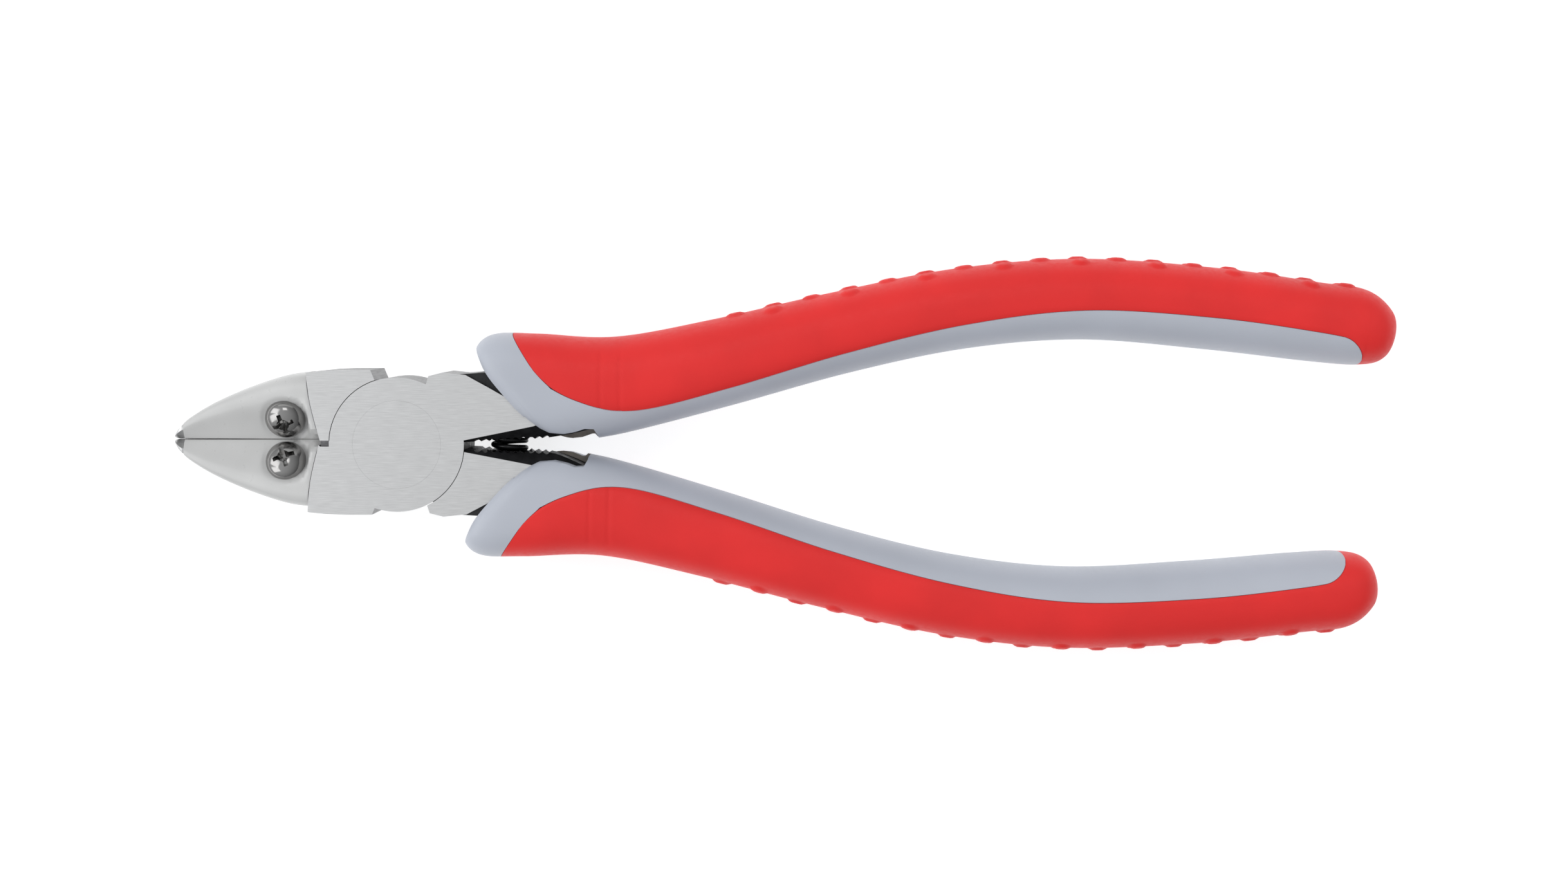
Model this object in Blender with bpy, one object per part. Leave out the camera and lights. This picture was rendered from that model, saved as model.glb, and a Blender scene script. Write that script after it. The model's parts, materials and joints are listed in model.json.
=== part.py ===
"""Nippers with screwed-on jaw covers: two lapped steel levers that turn on a flush rivet.

The tool lies flat. X runs along it, jaw tips at -X and handles at +X. Z is the rivet's
axis, and Z = 0 is the back of the ground head. Y is across the jaws.

Each lever is drawn in its own plan view (x, v), where v points to its handle's side and
its jaw is at negative v. The front lever has its handle at +Y, its jaw at -Y and its lap
disc at the front. The rear lever is the same design turned over about the X axis.
"""

import math

import bmesh
import bpy
from mathutils import Matrix, Vector

MM = 0.001  # the dimensions below are in millimetres

# Head
HEAD_THICKNESS = 10.0
MID = HEAD_THICKNESS / 2
DISC_RADIUS = 9.0
RUNNING_GAP = 0.2
ROUND_SEGMENTS = 56

# Jaws: depth is measured from the jaw line, where the two jaws meet
JAW_LINE_Y = 0.55
TIP_X = -30.9
SHOULDER_X = -3.4
FRONT_JAW_DEPTH = 9.95
REAR_JAW_DEPTH = 9.45
JAW_OUTLINE = ((-31.2, 0.1), (-30.4, 0.98), (-29.9, 1.65), (-28.5, 2.98), (-25.0, 5.05), (-20.0, 7.2),
               (-15.0, 8.75), (-11.0, 9.2))
COVER_BACK_EDGE = ((-10.25, 0.0), (-11.05, 3.0), (-11.65, 5.8), (-11.98, 9.0), (-12.0, 12.0))
COVER_TIP_X = -29.3
RIDGE_SHARE = 0.65  # depth of the covered jaw's ridge, as a share of the jaw's depth
COVER_STATIONS = (-29.35, -28.5, -27.0, -25.0, -22.5, -20.0, -17.5, -15.0, -12.5, -9.5)
CORE_TIP_STATIONS = (TIP_X, -30.4)
COVER_WALL = 1.3
JAW_TIP_HALF = 1.5  # half thickness of the covered jaw at its tip
JAW_BACK_HALF = 4.95  # and at its back edge
CORE_EDGE = 0.25  # half thickness of the core's edge on the jaw line
CORE_DEPTH = 9.0  # the core's depth before the cover's wall is taken off it
BACK_EDGE_GAP = 0.15
FIT_GAP = 0.3
HALF_MEETING_GAP = 0.15
JAW_RELIEF = (-8.6, -10.25, 0.8)  # from x, to x, depth of the nick behind the jaw line

# Cover screws, square to the sloping face of the jaw's valley
SCREW_X = -15.3
SCREW_DEPTH = 2.72
SCREW_TILT = math.radians(26)
SCREW_HEAD_RADIUS = 2.7
SCREW_HEAD_HEIGHT = 1.9
SCREW_SHANK_RADIUS = 1.45
SCREW_LENGTH = 4.2
SCREW_LIFT = 0.1  # clearance of the head over its seat
RECESS_SIZE = (2.6, 0.6, 1.8)
RECESS_TURN = 0.35  # radians

# Rivet
RIVET_HEAD_RADIUS = 5.9
RIVET_SHANK_RADIUS = 4.0
RIVET_RIM = 0.8
RIVET_CONE = 2.4

# Handle roots, ground flush with the head
ROOT_DEPTH = 9.65
ROOT_OUTLINE = ((3.0, 0.0), (9.0, 0.0), (18.3, 2.0), (19.4, 2.5), (15.0, 5.9), (12.2, 7.6), (9.3, 9.3),
                (6.2, 9.65), (4.35, 9.15), (4.05, 8.1), (3.0, 6.0))
FRONT_ROOT_V = 0.59
REAR_ROOT_V = 0.98

# Forged arms: outer x, v, inner x, v, half thickness, chamfer of the inner edges
ARM_RUNGS = (
    (6.8, 9.3, 8.4, 0.3, 4.6, 0.1),
    (12.5, 9.6, 13.6, 0.5, 4.6, 1.0),
    (16.5, 8.9, 20.0, 0.8, 4.4, 1.9),
    (22.0, 7.2, 26.0, 2.05, 3.4, 1.0),
    (29.5, 8.2, 31.0, 4.1, 2.8, 0.4),
    (43.0, 11.9, 44.2, 8.0, 2.5, 0.3),
    (59.0, 16.1, 60.2, 12.3, 2.5, 0.3),
    (75.5, 19.3, 76.2, 15.7, 2.4, 0.3),
    (92.0, 20.7, 92.0, 17.3, 2.4, 0.3),
    (109.5, 19.2, 108.8, 16.0, 2.3, 0.3),
    (121.0, 17.4, 120.4, 14.7, 2.2, 0.3),
)
FIRST_TURNED_ARM_RUNG = 3
TOOTH_PITCH = 1.0
TOOTH_DEPTH = 0.35
TOOTH_SPAN = (10.2, 20.2)

# Return spring, in a blind socket in each root
SPRING_X = 14.5
SPRING_COIL_RADIUS = 2.18
SPRING_WIRE_RADIUS = 0.36
SPRING_TURNS = 7
SPRING_END_Y = (-3.6, 3.2)
SOCKET_RADIUS = 3.1
SOCKET_FLOOR_V = 4.3

# Grips: outer x, v, inner x, v, thickness over width, how square, share of the width that is grey
GRIP_RUNGS = (
    (11.2, 11.6, 18.8, 2.8, 0.98, 3.6, 1.0),
    (10.5, 13.2, 20.2, 1.3, 0.87, 3.6, 1.0),
    (12.8, 14.8, 22.8, 0.45, 0.80, 3.2, 0.76),
    (18.5, 14.8, 27.0, 0.75, 0.86, 2.8, 0.385),
    (29.0, 14.4, 33.0, 2.0, 1.04, 2.5, 0.21),
    (42.0, 16.7, 45.5, 5.3, 1.15, 2.4, 0.205),
    (58.0, 20.3, 61.0, 9.6, 1.22, 2.4, 0.25),
    (75.0, 23.6, 76.5, 12.8, 1.25, 2.4, 0.30),
    (92.0, 24.9, 92.0, 14.0, 1.25, 2.4, 0.36),
    (110.0, 23.7, 108.5, 12.7, 1.22, 2.4, 0.385),
    (124.0, 21.75, 122.5, 11.1, 1.21, 2.4, 0.365),
    (130.3, 20.75, 129.4, 10.6, 1.20, 2.4, 0.30),
    (133.7, 18.1, 132.8, 11.5, 1.24, 2.3, 0.30),
    (134.65, 15.2, 134.65, 14.9, 1.24, 2.2, 0.30),
)
NOSE_RUNG = 2.52    # where the soft cover starts
NOSE_ROUND = 0.25   # rungs over which its corners round off
NOSE_SHARE = 0.15   # how much more of the width is grey at its very start
TAIL_RUNG = 10.95   # where the grey band ends
TAIL_ROUND = 0.6
SOFT_GAP_RUNGS = 0.05
GRIP_ROWS = (0.0, 0.25, 0.6, 1.0, 1.5, 2.0, NOSE_RUNG, NOSE_RUNG + SOFT_GAP_RUNGS, 2.68, 2.8, 3.0, 3.5,
             4.0, 4.6, 5.3, 6.0, 6.7, 7.4, 8.0, 8.7, 9.4, 10.0, 10.35, 10.6, 10.8, TAIL_RUNG,
             TAIL_RUNG + SOFT_GAP_RUNGS, 11.4, 11.8, 12.2, 12.6, 12.9)
INSET_TAIL = (11.0, 0.63)  # past this rung, inset surfaces take this share of each step
SOFT_WALL = 1.6
SOFT_COLUMNS = 12
BARE_COLUMNS = 8
TAIL_ANGLE = math.radians(155)
SOFT_GAP_ANGLE = FIT_GAP / 6
LOWER_GRIP_TURN = math.radians(1.9)
LOWER_GRIP_SHIFT = -1.3
FRONT_CHEEK_TRIM = ((16.0, -4.0), (17.2, 3.9), (18.4, 2.6), (20.4, 1.6), (22.4, 1.42), (24.0, 1.75),
                    (25.2, 2.15), (26.4, 2.1), (26.8, 1.2), (27.1, -4.0))

COLOURS = {
    "ground_steel": ((0.62, 0.62, 0.63), 0.35, 1.0),
    "black_steel": ((0.03, 0.03, 0.03), 0.5, 0.8),
    "jaw_cover_plastic": ((0.80, 0.80, 0.79), 0.4, 0.0),
    "screw_steel": ((0.45, 0.45, 0.46), 0.2, 1.0),
    "grey_plastic": ((0.50, 0.53, 0.57), 0.5, 0.0),
    "red_elastomer": ((0.72, 0.06, 0.05), 0.55, 0.0),
}


class Lever:
    """Where one lever's plan view lies in the tool."""

    def __init__(self, name, side, jaw_depth, root_v, turn, shift):
        self.name = name
        self.side = side
        self.jaw_depth = jaw_depth
        self.root_v = root_v
        self.turn = turn
        self.shift = shift
        self.jaw_line_v = side * JAW_LINE_Y

    def point(self, x, v, up=0.0):
        """A point of the plan view, up millimetres from the mid-plane to the lever's own face."""
        return Vector((x, self.side * v, MID + self.side * up)) * MM

    def jaw_point(self, x, depth, up=0.0):
        return self.point(x, self.jaw_line_v - depth, up)

    def turned(self, x, v):
        """A plan point of the grip, moved to where this lever's handle lies."""
        c, s = math.cos(self.turn), math.sin(self.turn)
        return x * c - v * s + self.shift, x * s + v * c


def material(name):
    found = bpy.data.materials.get(name)
    if found:
        return found
    colour, roughness, metallic = COLOURS[name]
    made = bpy.data.materials.new(name)
    made.use_nodes = True
    made.diffuse_color = (*colour, 1)
    shader = made.node_tree.nodes["Principled BSDF"]
    shader.inputs["Base Color"].default_value = (*colour, 1)
    shader.inputs["Roughness"].default_value = roughness
    shader.inputs["Metallic"].default_value = metallic
    return made


def collection(name):
    made = bpy.data.collections.new(name)
    bpy.context.scene.collection.children.link(made)
    return made


def catmull(rows, t):
    """The row at parameter t of a smooth curve that passes row i at t = i."""
    last = len(rows) - 1
    t = min(max(t, 0.0), last)
    i = min(int(t), last - 1)
    u = t - i
    a, b, c, d = (rows[min(max(j, 0), last)] for j in (i - 1, i, i + 1, i + 2))
    return [0.5 * (2 * q + (r - p) * u + (2 * p - 5 * q + 4 * r - s) * u * u
                   + (3 * q - p - 3 * r + s) * u ** 3)
            for p, q, r, s in zip(a, b, c, d)]


def value_at(points, x):
    """Height at x of the smooth curve through points, whose x values rise."""
    low, high = 0.0, len(points) - 1.0
    for _ in range(40):
        middle = (low + high) / 2
        if catmull(points, middle)[0] < x:
            low = middle
        else:
            high = middle
    return catmull(points, low)[1]


def mesh_object(name, bm, home):
    bmesh.ops.remove_doubles(bm, verts=bm.verts, dist=0.0005 * MM)
    bmesh.ops.recalc_face_normals(bm, faces=bm.faces)
    if bm.calc_volume(signed=True) < 0:
        bmesh.ops.reverse_faces(bm, faces=bm.faces)
    mesh = bpy.data.meshes.new(name)
    bm.to_mesh(mesh)
    bm.free()
    made = bpy.data.objects.new(name, mesh)
    home.objects.link(made)
    return made


def loft(name, rings, home):
    """A closed solid through rings of equally many points."""
    bm = bmesh.new()
    rows = [[bm.verts.new(p) for p in ring] for ring in rings]
    for near, far in zip(rows, rows[1:]):
        for j in range(len(near)):
            k = (j + 1) % len(near)
            bm.faces.new((near[j], near[k], far[k], far[j]))
    bm.faces.new(rows[0])
    bm.faces.new(rows[-1])
    return mesh_object(name, bm, home)


def prism(name, lever, outline, low, high, home):
    """A flat plan outline, between two heights above the mid-plane."""
    curve = bpy.data.curves.new(name, "CURVE")
    curve.dimensions = "2D"
    curve.fill_mode = "BOTH"
    curve.extrude = (high - low) / 2 * MM
    spline = curve.splines.new("POLY")
    spline.points.add(len(outline) - 1)
    for point, (x, v) in zip(spline.points, outline):
        point.co = (x * MM, lever.side * v * MM, 0, 1)
    spline.use_cyclic_u = True
    drawn = bpy.data.objects.new(name, curve)
    drawn.location.z = (MID + lever.side * (low + high) / 2) * MM
    home.objects.link(drawn)
    return curve_to_mesh(drawn, home)


def curve_to_mesh(drawn, home):
    bpy.context.view_layer.update()
    evaluated = drawn.evaluated_get(bpy.context.evaluated_depsgraph_get())
    mesh = bpy.data.meshes.new_from_object(evaluated)
    name, matrix = drawn.name, drawn.matrix_world.copy()
    bpy.data.objects.remove(drawn)
    bm = bmesh.new()
    bm.from_mesh(mesh)
    made = mesh_object(name, bm, home)
    made.name = name
    made.matrix_world = matrix
    return made


def cylinder(name, radius, start, end, home, segments=ROUND_SEGMENTS):
    """A cylinder from one point to another, both in metres."""
    bm = bmesh.new()
    bmesh.ops.create_cone(bm, cap_ends=True, segments=segments, radius1=radius * MM, radius2=radius * MM,
                          depth=(end - start).length)
    made = mesh_object(name, bm, home)
    turn = (end - start).to_track_quat("Z", "Y").to_matrix().to_4x4()
    made.matrix_world = Matrix.Translation((start + end) / 2) @ turn
    return made


def turned(name, profile, home, segments=ROUND_SEGMENTS):
    """A solid of revolution about Z from (radius, z) rows that run top to bottom."""
    ways = [2 * math.pi * i / segments for i in range(segments)]
    rings = [[Vector((r * math.cos(a), r * math.sin(a), z)) * MM for a in ways] for r, z in profile]
    return loft(name, rings, home)


def boolean(target, operation, other, use_self=False):
    modifier = target.modifiers.new(other.name, "BOOLEAN")
    modifier.use_self = use_self
    modifier.operation = operation
    modifier.solver = "EXACT"
    modifier.object = other
    other.hide_render = True
    other.display_type = "WIRE"


def grown(outline, amount):
    """The outline moved outward by amount, for an outline that runs anticlockwise."""
    moved = []
    for before, here, after in zip(outline[-1:] + outline[:-1], outline, outline[1:] + outline[:1]):
        to_here = Vector(here) - Vector(before)
        onward = Vector(after) - Vector(here)
        normal = Vector((to_here.y, -to_here.x)).normalized() + Vector((onward.y, -onward.x)).normalized()
        normal *= amount / max(normal.length_squared / 2, 0.6)
        moved.append((here[0] + normal.x, here[1] + normal.y))
    return moved


# --- jaws -----------------------------------------------------------------------------

def jaw_body_outline(lever):
    """Plan outline of the jaw's bare steel, from the cover's back edge to the shoulder."""
    line = lever.jaw_line_v
    back = [catmull(COVER_BACK_EDGE, t / 2) for t in range(0, 7)]
    outline = [(x, line - depth) for x, depth in back if depth < lever.jaw_depth]
    outline.append((COVER_BACK_EDGE[-1][0], line - lever.jaw_depth + 0.35))
    outline += [(-9.5, line - lever.jaw_depth + 0.1), (-7.0, line - lever.jaw_depth),
                (SHOULDER_X, line - lever.jaw_depth)]
    outline += [(SHOULDER_X + 0.5, line - lever.jaw_depth + 1.2), (-2.0, -6.0),
                (-8.0, line - 0.02 * lever.side)]
    return outline


def jaw_core_ring(lever, x):
    """Section of the steel under the cover: a wedge with its edge on the jaw line."""
    full = value_at(JAW_OUTLINE, x)
    wall = (COVER_WALL + FIT_GAP) * min(1.0, max(0.0, (x - COVER_TIP_X + 0.35) / 2.5))
    depth = min(full, CORE_DEPTH) - wall
    thick = jaw_half_thickness(x) - wall * 0.9
    return [lever.jaw_point(x, d, up) for d, up in (
        (HALF_MEETING_GAP / 2, -CORE_EDGE), (depth * 0.62, -thick), (depth * 0.95, -thick * 0.9),
        (depth, -thick * 0.55), (depth, thick * 0.55), (depth * 0.95, thick * 0.9),
        (depth * 0.62, thick), (HALF_MEETING_GAP / 2, CORE_EDGE))]


def jaw_half_thickness(x):
    """Half thickness of the covered jaw at its ridge."""
    along = (x - TIP_X) / (COVER_BACK_EDGE[-1][0] - TIP_X)
    return JAW_TIP_HALF + (JAW_BACK_HALF - JAW_TIP_HALF) * min(max(along, 0.0), 1.0) ** 0.72


def valley_half_thickness(x):
    """Half thickness of the covered jaw at the jaw line."""
    return jaw_half_thickness(x) - math.tan(SCREW_TILT) * RIDGE_SHARE * value_at(JAW_OUTLINE, x)


def cover_ring(lever, x):
    depth = value_at(JAW_OUTLINE, x)
    ridge = depth * RIDGE_SHARE
    thick = jaw_half_thickness(x)
    low = valley_half_thickness(x)
    half = ((HALF_MEETING_GAP, low), (ridge * 0.5, (low + thick) / 2), (ridge, thick),
            (depth * 0.86, thick * 0.95), (depth * 0.96, thick * 0.78), (depth, thick * 0.35))
    back = [lever.jaw_point(x, d, -up) for d, up in half]
    return back + [lever.jaw_point(x, d, up) for d, up in reversed(half)]


def screw_seat(lever):
    """Centre of the screw's seat on the cover, and the way its axis points out of it."""
    ridge = value_at(JAW_OUTLINE, SCREW_X) * RIDGE_SHARE
    low, high = valley_half_thickness(SCREW_X), jaw_half_thickness(SCREW_X)
    up = low + (high - low) * SCREW_DEPTH / ridge
    # both screws face the tool's front, which is the rear lever's underside
    up *= lever.side
    seat = lever.jaw_point(SCREW_X, SCREW_DEPTH, up)
    out = Vector((0, lever.side * math.sin(SCREW_TILT), math.cos(SCREW_TILT)))
    return seat, out


def make_cover(lever, home, cutters):
    cover = loft(f"{lever.name}_cover", [cover_ring(lever, x) for x in COVER_STATIONS], home)
    outline = grown(jaw_body_outline(lever), BACK_EDGE_GAP)
    steel = prism(f"{lever.name}_back_edge", lever, outline, -8, 8, cutters)
    boolean(cover, "DIFFERENCE", steel)
    stations = (CORE_TIP_STATIONS[-1], *COVER_STATIONS, COVER_STATIONS[-1] + 1.0)
    core = loft(f"{lever.name}_core_space", [core_space_ring(lever, x) for x in stations], cutters)
    boolean(cover, "DIFFERENCE", core)
    seat, out = screw_seat(lever)
    hole = cylinder(f"{lever.name}_cover_hole", SCREW_SHANK_RADIUS + FIT_GAP, seat - out * 5 * MM,
                    seat + out * 6 * MM, cutters, 24)
    boolean(cover, "DIFFERENCE", hole)
    face = cylinder(f"{lever.name}_spot_face", SCREW_HEAD_RADIUS + FIT_GAP, seat - out * 0.1 * MM,
                    seat + out * 5 * MM, cutters, 32)
    boolean(cover, "DIFFERENCE", face)
    return cover


def core_space_ring(lever, x):
    """The core's section with the fit gap all round, open through the jaw line."""
    full = value_at(JAW_OUTLINE, x)
    wall = COVER_WALL * min(1.0, max(0.0, (x - COVER_TIP_X + 0.35) / 2.5))
    depth = min(full, CORE_DEPTH) - wall
    thick = jaw_half_thickness(x) - wall * 0.9
    edge = CORE_EDGE + FIT_GAP
    return [lever.jaw_point(x, d, up) for d, up in (
        (-1.0, -edge), (0.0, -edge), (depth * 0.62, -thick), (depth * 0.95, -thick * 0.9),
        (depth, -thick * 0.55), (depth, thick * 0.55), (depth * 0.95, thick * 0.9),
        (depth * 0.62, thick), (0.0, edge), (-1.0, edge))]


def make_cover_screw(lever, home, cutters):
    seat, out = screw_seat(lever)
    height = SCREW_HEAD_HEIGHT
    dome = [(SCREW_HEAD_RADIUS * math.cos(math.radians(a)),
             height * math.sin(math.radians(a))) for a in (72, 50, 30, 12)]
    profile = (*dome, (SCREW_HEAD_RADIUS, 0.0), (SCREW_SHANK_RADIUS, 0.0),
               (SCREW_SHANK_RADIUS, 0.4 - SCREW_LENGTH), (1.0, -SCREW_LENGTH))
    screw = turned(f"{lever.name}_cover_screw", profile, home, 24)
    lifted = Matrix.Translation(seat + out * SCREW_LIFT * MM)
    place = lifted @ out.to_track_quat("Z", "Y").to_matrix().to_4x4()
    screw.data.transform(place)
    for angle in (0, math.pi / 2):
        bpy.ops.mesh.primitive_cube_add(size=1, location=place @ Vector((0, 0, height * MM)))
        slot = bpy.context.object
        slot.name = f"{lever.name}_recess_{round(math.degrees(angle))}"
        slot.rotation_euler = (place.to_3x3() @ Matrix.Rotation(angle + RECESS_TURN, 3, "Z")).to_euler()
        slot.scale = Vector(RECESS_SIZE) * MM
        move_to(slot, cutters)
        boolean(screw, "DIFFERENCE", slot)
    return screw


def move_to(made, home):
    for old in list(made.users_collection):
        old.objects.unlink(made)
    home.objects.link(made)


# --- handles ---------------------------------------------------------------------------

def arm_ring(lever, row, grow):
    """Section of the forged arm: a flat bar whose inner edges are chamfered."""
    ox, ov, ix, iv, half, chamfer = row
    outer, inner = Vector((ox, ov)), Vector((ix, iv))
    along = (outer - inner).normalized()
    outer = outer + along * grow
    inner = inner - along * grow
    half += grow
    cut = inner + along * chamfer
    drop = chamfer * 1.3
    return [lever.point(p.x, p.y, up) for p, up in (
        (outer, half), (cut, half), (inner, half - drop), (inner, drop - half), (cut, -half), (outer, -half))]


def arm_rows(lever):
    """The arm's rungs, with those inside the grip moved along with it."""
    lift = lever.root_v - FRONT_ROOT_V
    rows = []
    for i, (ox, ov, ix, iv, half, chamfer) in enumerate(ARM_RUNGS):
        if i < FIRST_TURNED_ARM_RUNG:
            rows.append((ox, ov, ix, iv + lift, half, chamfer))
        else:
            rows.append((*lever.turned(ox, ov), *lever.turned(ix, iv), half, chamfer))
    return rows


def make_arm(name, lever, home, grow=0.0):
    rows = arm_rows(lever)
    steps = [i / 2 for i in range(2 * len(rows) - 1)]
    rings = [arm_ring(lever, catmull(rows, t), grow) for t in steps]
    if grow:
        away = (rings[-1][0] - rings[-2][0]).normalized() * grow * MM
        rings[-1] = [p + away for p in rings[-1]]
    return loft(name, rings, home)


def tooth_comb(lever):
    """Plan outline of a comb that cuts the teeth into the arm's inner edge."""
    rows = arm_rows(lever)
    inner = [catmull([row[2:4] for row in rows[:4]], t / 10) for t in range(0, 31)]
    start, end = TOOTH_SPAN
    count = round((end - start) / TOOTH_PITCH)
    zigzag = []
    for i in range(2 * count + 1):
        x = start + i * TOOTH_PITCH / 2
        base = value_at(inner, x)
        zigzag.append((x, base + (TOOTH_DEPTH if i % 2 else -0.02)))
    return [(start, -3.0), (end, -3.0)] + zigzag[::-1]


def make_lever(lever, home, cutters):
    """Half-disc, jaw, root and arm in one piece, with its pocket, rivet hole, socket and teeth."""
    body = cylinder(lever.name, DISC_RADIUS, lever.point(0, 0, RUNNING_GAP / 2), lever.point(0, 0, MID), home)
    jaw = prism(f"{lever.name}_jaw", lever, jaw_body_outline(lever), -MID, MID, cutters)
    root = prism(f"{lever.name}_root", lever, root_outline(lever), -MID, MID, cutters)
    arm = make_arm(f"{lever.name}_arm", lever, cutters)
    stations = CORE_TIP_STATIONS + COVER_STATIONS
    core = loft(f"{lever.name}_core", [jaw_core_ring(lever, x) for x in stations], cutters)
    for joined in (jaw, root, arm, core):
        boolean(body, "UNION", joined)
    pocket = cylinder(f"{lever.name}_pocket", DISC_RADIUS + RUNNING_GAP, lever.point(0, 0, -8),
                      lever.point(0, 0, RUNNING_GAP / 2), cutters)
    boolean(body, "DIFFERENCE", pocket)
    boolean(body, "DIFFERENCE", bpy.data.objects["rivet_hole"])
    socket = cylinder(f"{lever.name}_socket", SOCKET_RADIUS, lever.point(SPRING_X, -1.0),
                      lever.point(SPRING_X, SOCKET_FLOOR_V), cutters, 28)
    boolean(body, "DIFFERENCE", socket)
    boolean(body, "DIFFERENCE", prism(f"{lever.name}_teeth", lever, tooth_comb(lever), -7, 7, cutters))
    if lever.side > 0:
        x0, x1, depth = JAW_RELIEF
        line = lever.jaw_line_v
        nick = [(x0, line + 0.6), (x1 - 0.6, line + 0.6), (x1 - 0.6, line - 0.05), (x1, line - depth),
                (x0, line - depth)]
        nick_cutter = prism(f"{lever.name}_nick", lever, nick, -7, 7, cutters)
        boolean(nick_cutter, "DIFFERENCE", disc_guard(lever, cutters))
        boolean(body, "DIFFERENCE", nick_cutter)
    seat, out = screw_seat(lever)
    hole = cylinder(f"{lever.name}_screw_hole", SCREW_SHANK_RADIUS + 0.15,
                    seat - out * (SCREW_LENGTH + 0.3) * MM, seat + out * 4 * MM, cutters, 24)
    boolean(body, "DIFFERENCE", hole)
    return body


def disc_guard(lever, cutters):
    return cylinder(f"{lever.name}_disc_guard", DISC_RADIUS + 0.1, lever.point(0, 0, -9),
                    lever.point(0, 0, 9), cutters)


def root_outline(lever):
    """Plan outline of the ground root; its inner corner meets the slot between the handles."""
    return [(x, v + lever.root_v * (1 - v / ROOT_DEPTH)) for x, v in ROOT_OUTLINE]


# --- grips -------------------------------------------------------------------------------

def grip_rungs(lever):
    return [(*lever.turned(*row[0:2]), *lever.turned(*row[2:4]), *row[4:]) for row in GRIP_RUNGS]


def soft_edge_angle(rungs, k):
    """Half the angle round the section that the soft cover spans at rung k."""
    square, share = catmull(rungs, max(k, NOSE_RUNG))[5:7]
    near = min(max((k - NOSE_RUNG) / NOSE_ROUND, 0.0), 1.0)
    share += NOSE_SHARE * (1 - math.sqrt(1 - (1 - near) ** 2))
    across = 2 * share - 1
    angle = math.acos(math.copysign(abs(across) ** (square / 2), across))
    far = min(max((k - TAIL_RUNG) / TAIL_ROUND + 1, 0.0), 1.0)
    return angle + (TAIL_ANGLE - angle) * (1 - math.sqrt(1 - far ** 2))


def grip_point(lever, rungs, k, angle, inset):
    """A point of the grip's surface, inset millimetres below it; angle 0 is the outer crest."""
    start, share = INSET_TAIL
    if inset and k > start:
        k = start + (k - start) * share
    ox, ov, ix, iv, aspect, square, _ = catmull(rungs, k)
    ahead, behind = catmull(rungs, k + 0.01), catmull(rungs, k - 0.01)
    outer_way = Vector((ahead[0] - behind[0], ahead[1] - behind[1])).normalized()
    inner_way = Vector((ahead[2] - behind[2], ahead[3] - behind[3])).normalized()
    outer = Vector((ox, ov)) - inset * Vector((-outer_way.y, outer_way.x))
    inner = Vector((ix, iv)) - inset * Vector((inner_way.y, -inner_way.x))
    full = max((Vector((ox, ov)) - Vector((ix, iv))).length / 2, 5.0)
    aspect = (aspect * full - inset) / (full - inset)
    centre = (outer + inner) / 2
    across = outer - centre
    c, s = math.cos(angle), math.sin(angle)
    plan = centre + across * math.copysign(abs(c) ** (2 / square), c)
    up = across.length * aspect * math.copysign(abs(s) ** (2 / square), s)
    return lever.point(plan.x, plan.y, up)


def grip_grid(bm, lever, ks, inset, gap=0.0, early=0.0):
    """Vertices of one inset surface: SOFT_COLUMNS over the outer side, then BARE_COLUMNS."""
    rungs = grip_rungs(lever)
    grid = []
    for k in ks:
        edge = soft_edge_angle(rungs, k + early) + gap
        angles = [edge * (2 * j / SOFT_COLUMNS - 1) for j in range(SOFT_COLUMNS + 1)]
        angles += [edge + (2 * math.pi - 2 * edge) * j / BARE_COLUMNS for j in range(1, BARE_COLUMNS)]
        grid.append([bm.verts.new(grip_point(lever, rungs, k, a, inset)) for a in angles])
    return grid


def is_soft(k, j):
    return k >= NOSE_RUNG and (j < SOFT_COLUMNS or k >= TAIL_RUNG)


def make_soft_cover(lever, home):
    """The red moulding: wraps the grip's outer side and its whole tail."""
    bm = bmesh.new()
    ks = [k for k in GRIP_ROWS if k > NOSE_RUNG and k != TAIL_RUNG]
    top = grip_grid(bm, lever, ks, 0.0)
    under = grip_grid(bm, lever, ks, SOFT_WALL)
    count = len(top[0])
    for i, k in enumerate(ks[:-1]):
        for j in range(count):
            m = (j + 1) % count
            if not is_soft(k, j):
                continue
            for grid in (top, under):
                bm.faces.new((grid[i][j], grid[i][m], grid[i + 1][m], grid[i + 1][j]))
            if i == 0 or not is_soft(ks[i - 1], j):
                bm.faces.new((top[i][j], top[i][m], under[i][m], under[i][j]))
            for side, neighbour in ((j, j - 1), (m, m)):
                if not is_soft(k, neighbour % count):
                    bm.faces.new((top[i][side], top[i + 1][side], under[i + 1][side], under[i][side]))
    bm.faces.new(top[-1])
    bm.faces.new(under[-1])
    drop_loose(bm)
    return mesh_object(f"{lever.name}_soft_grip", bm, home)


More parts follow.
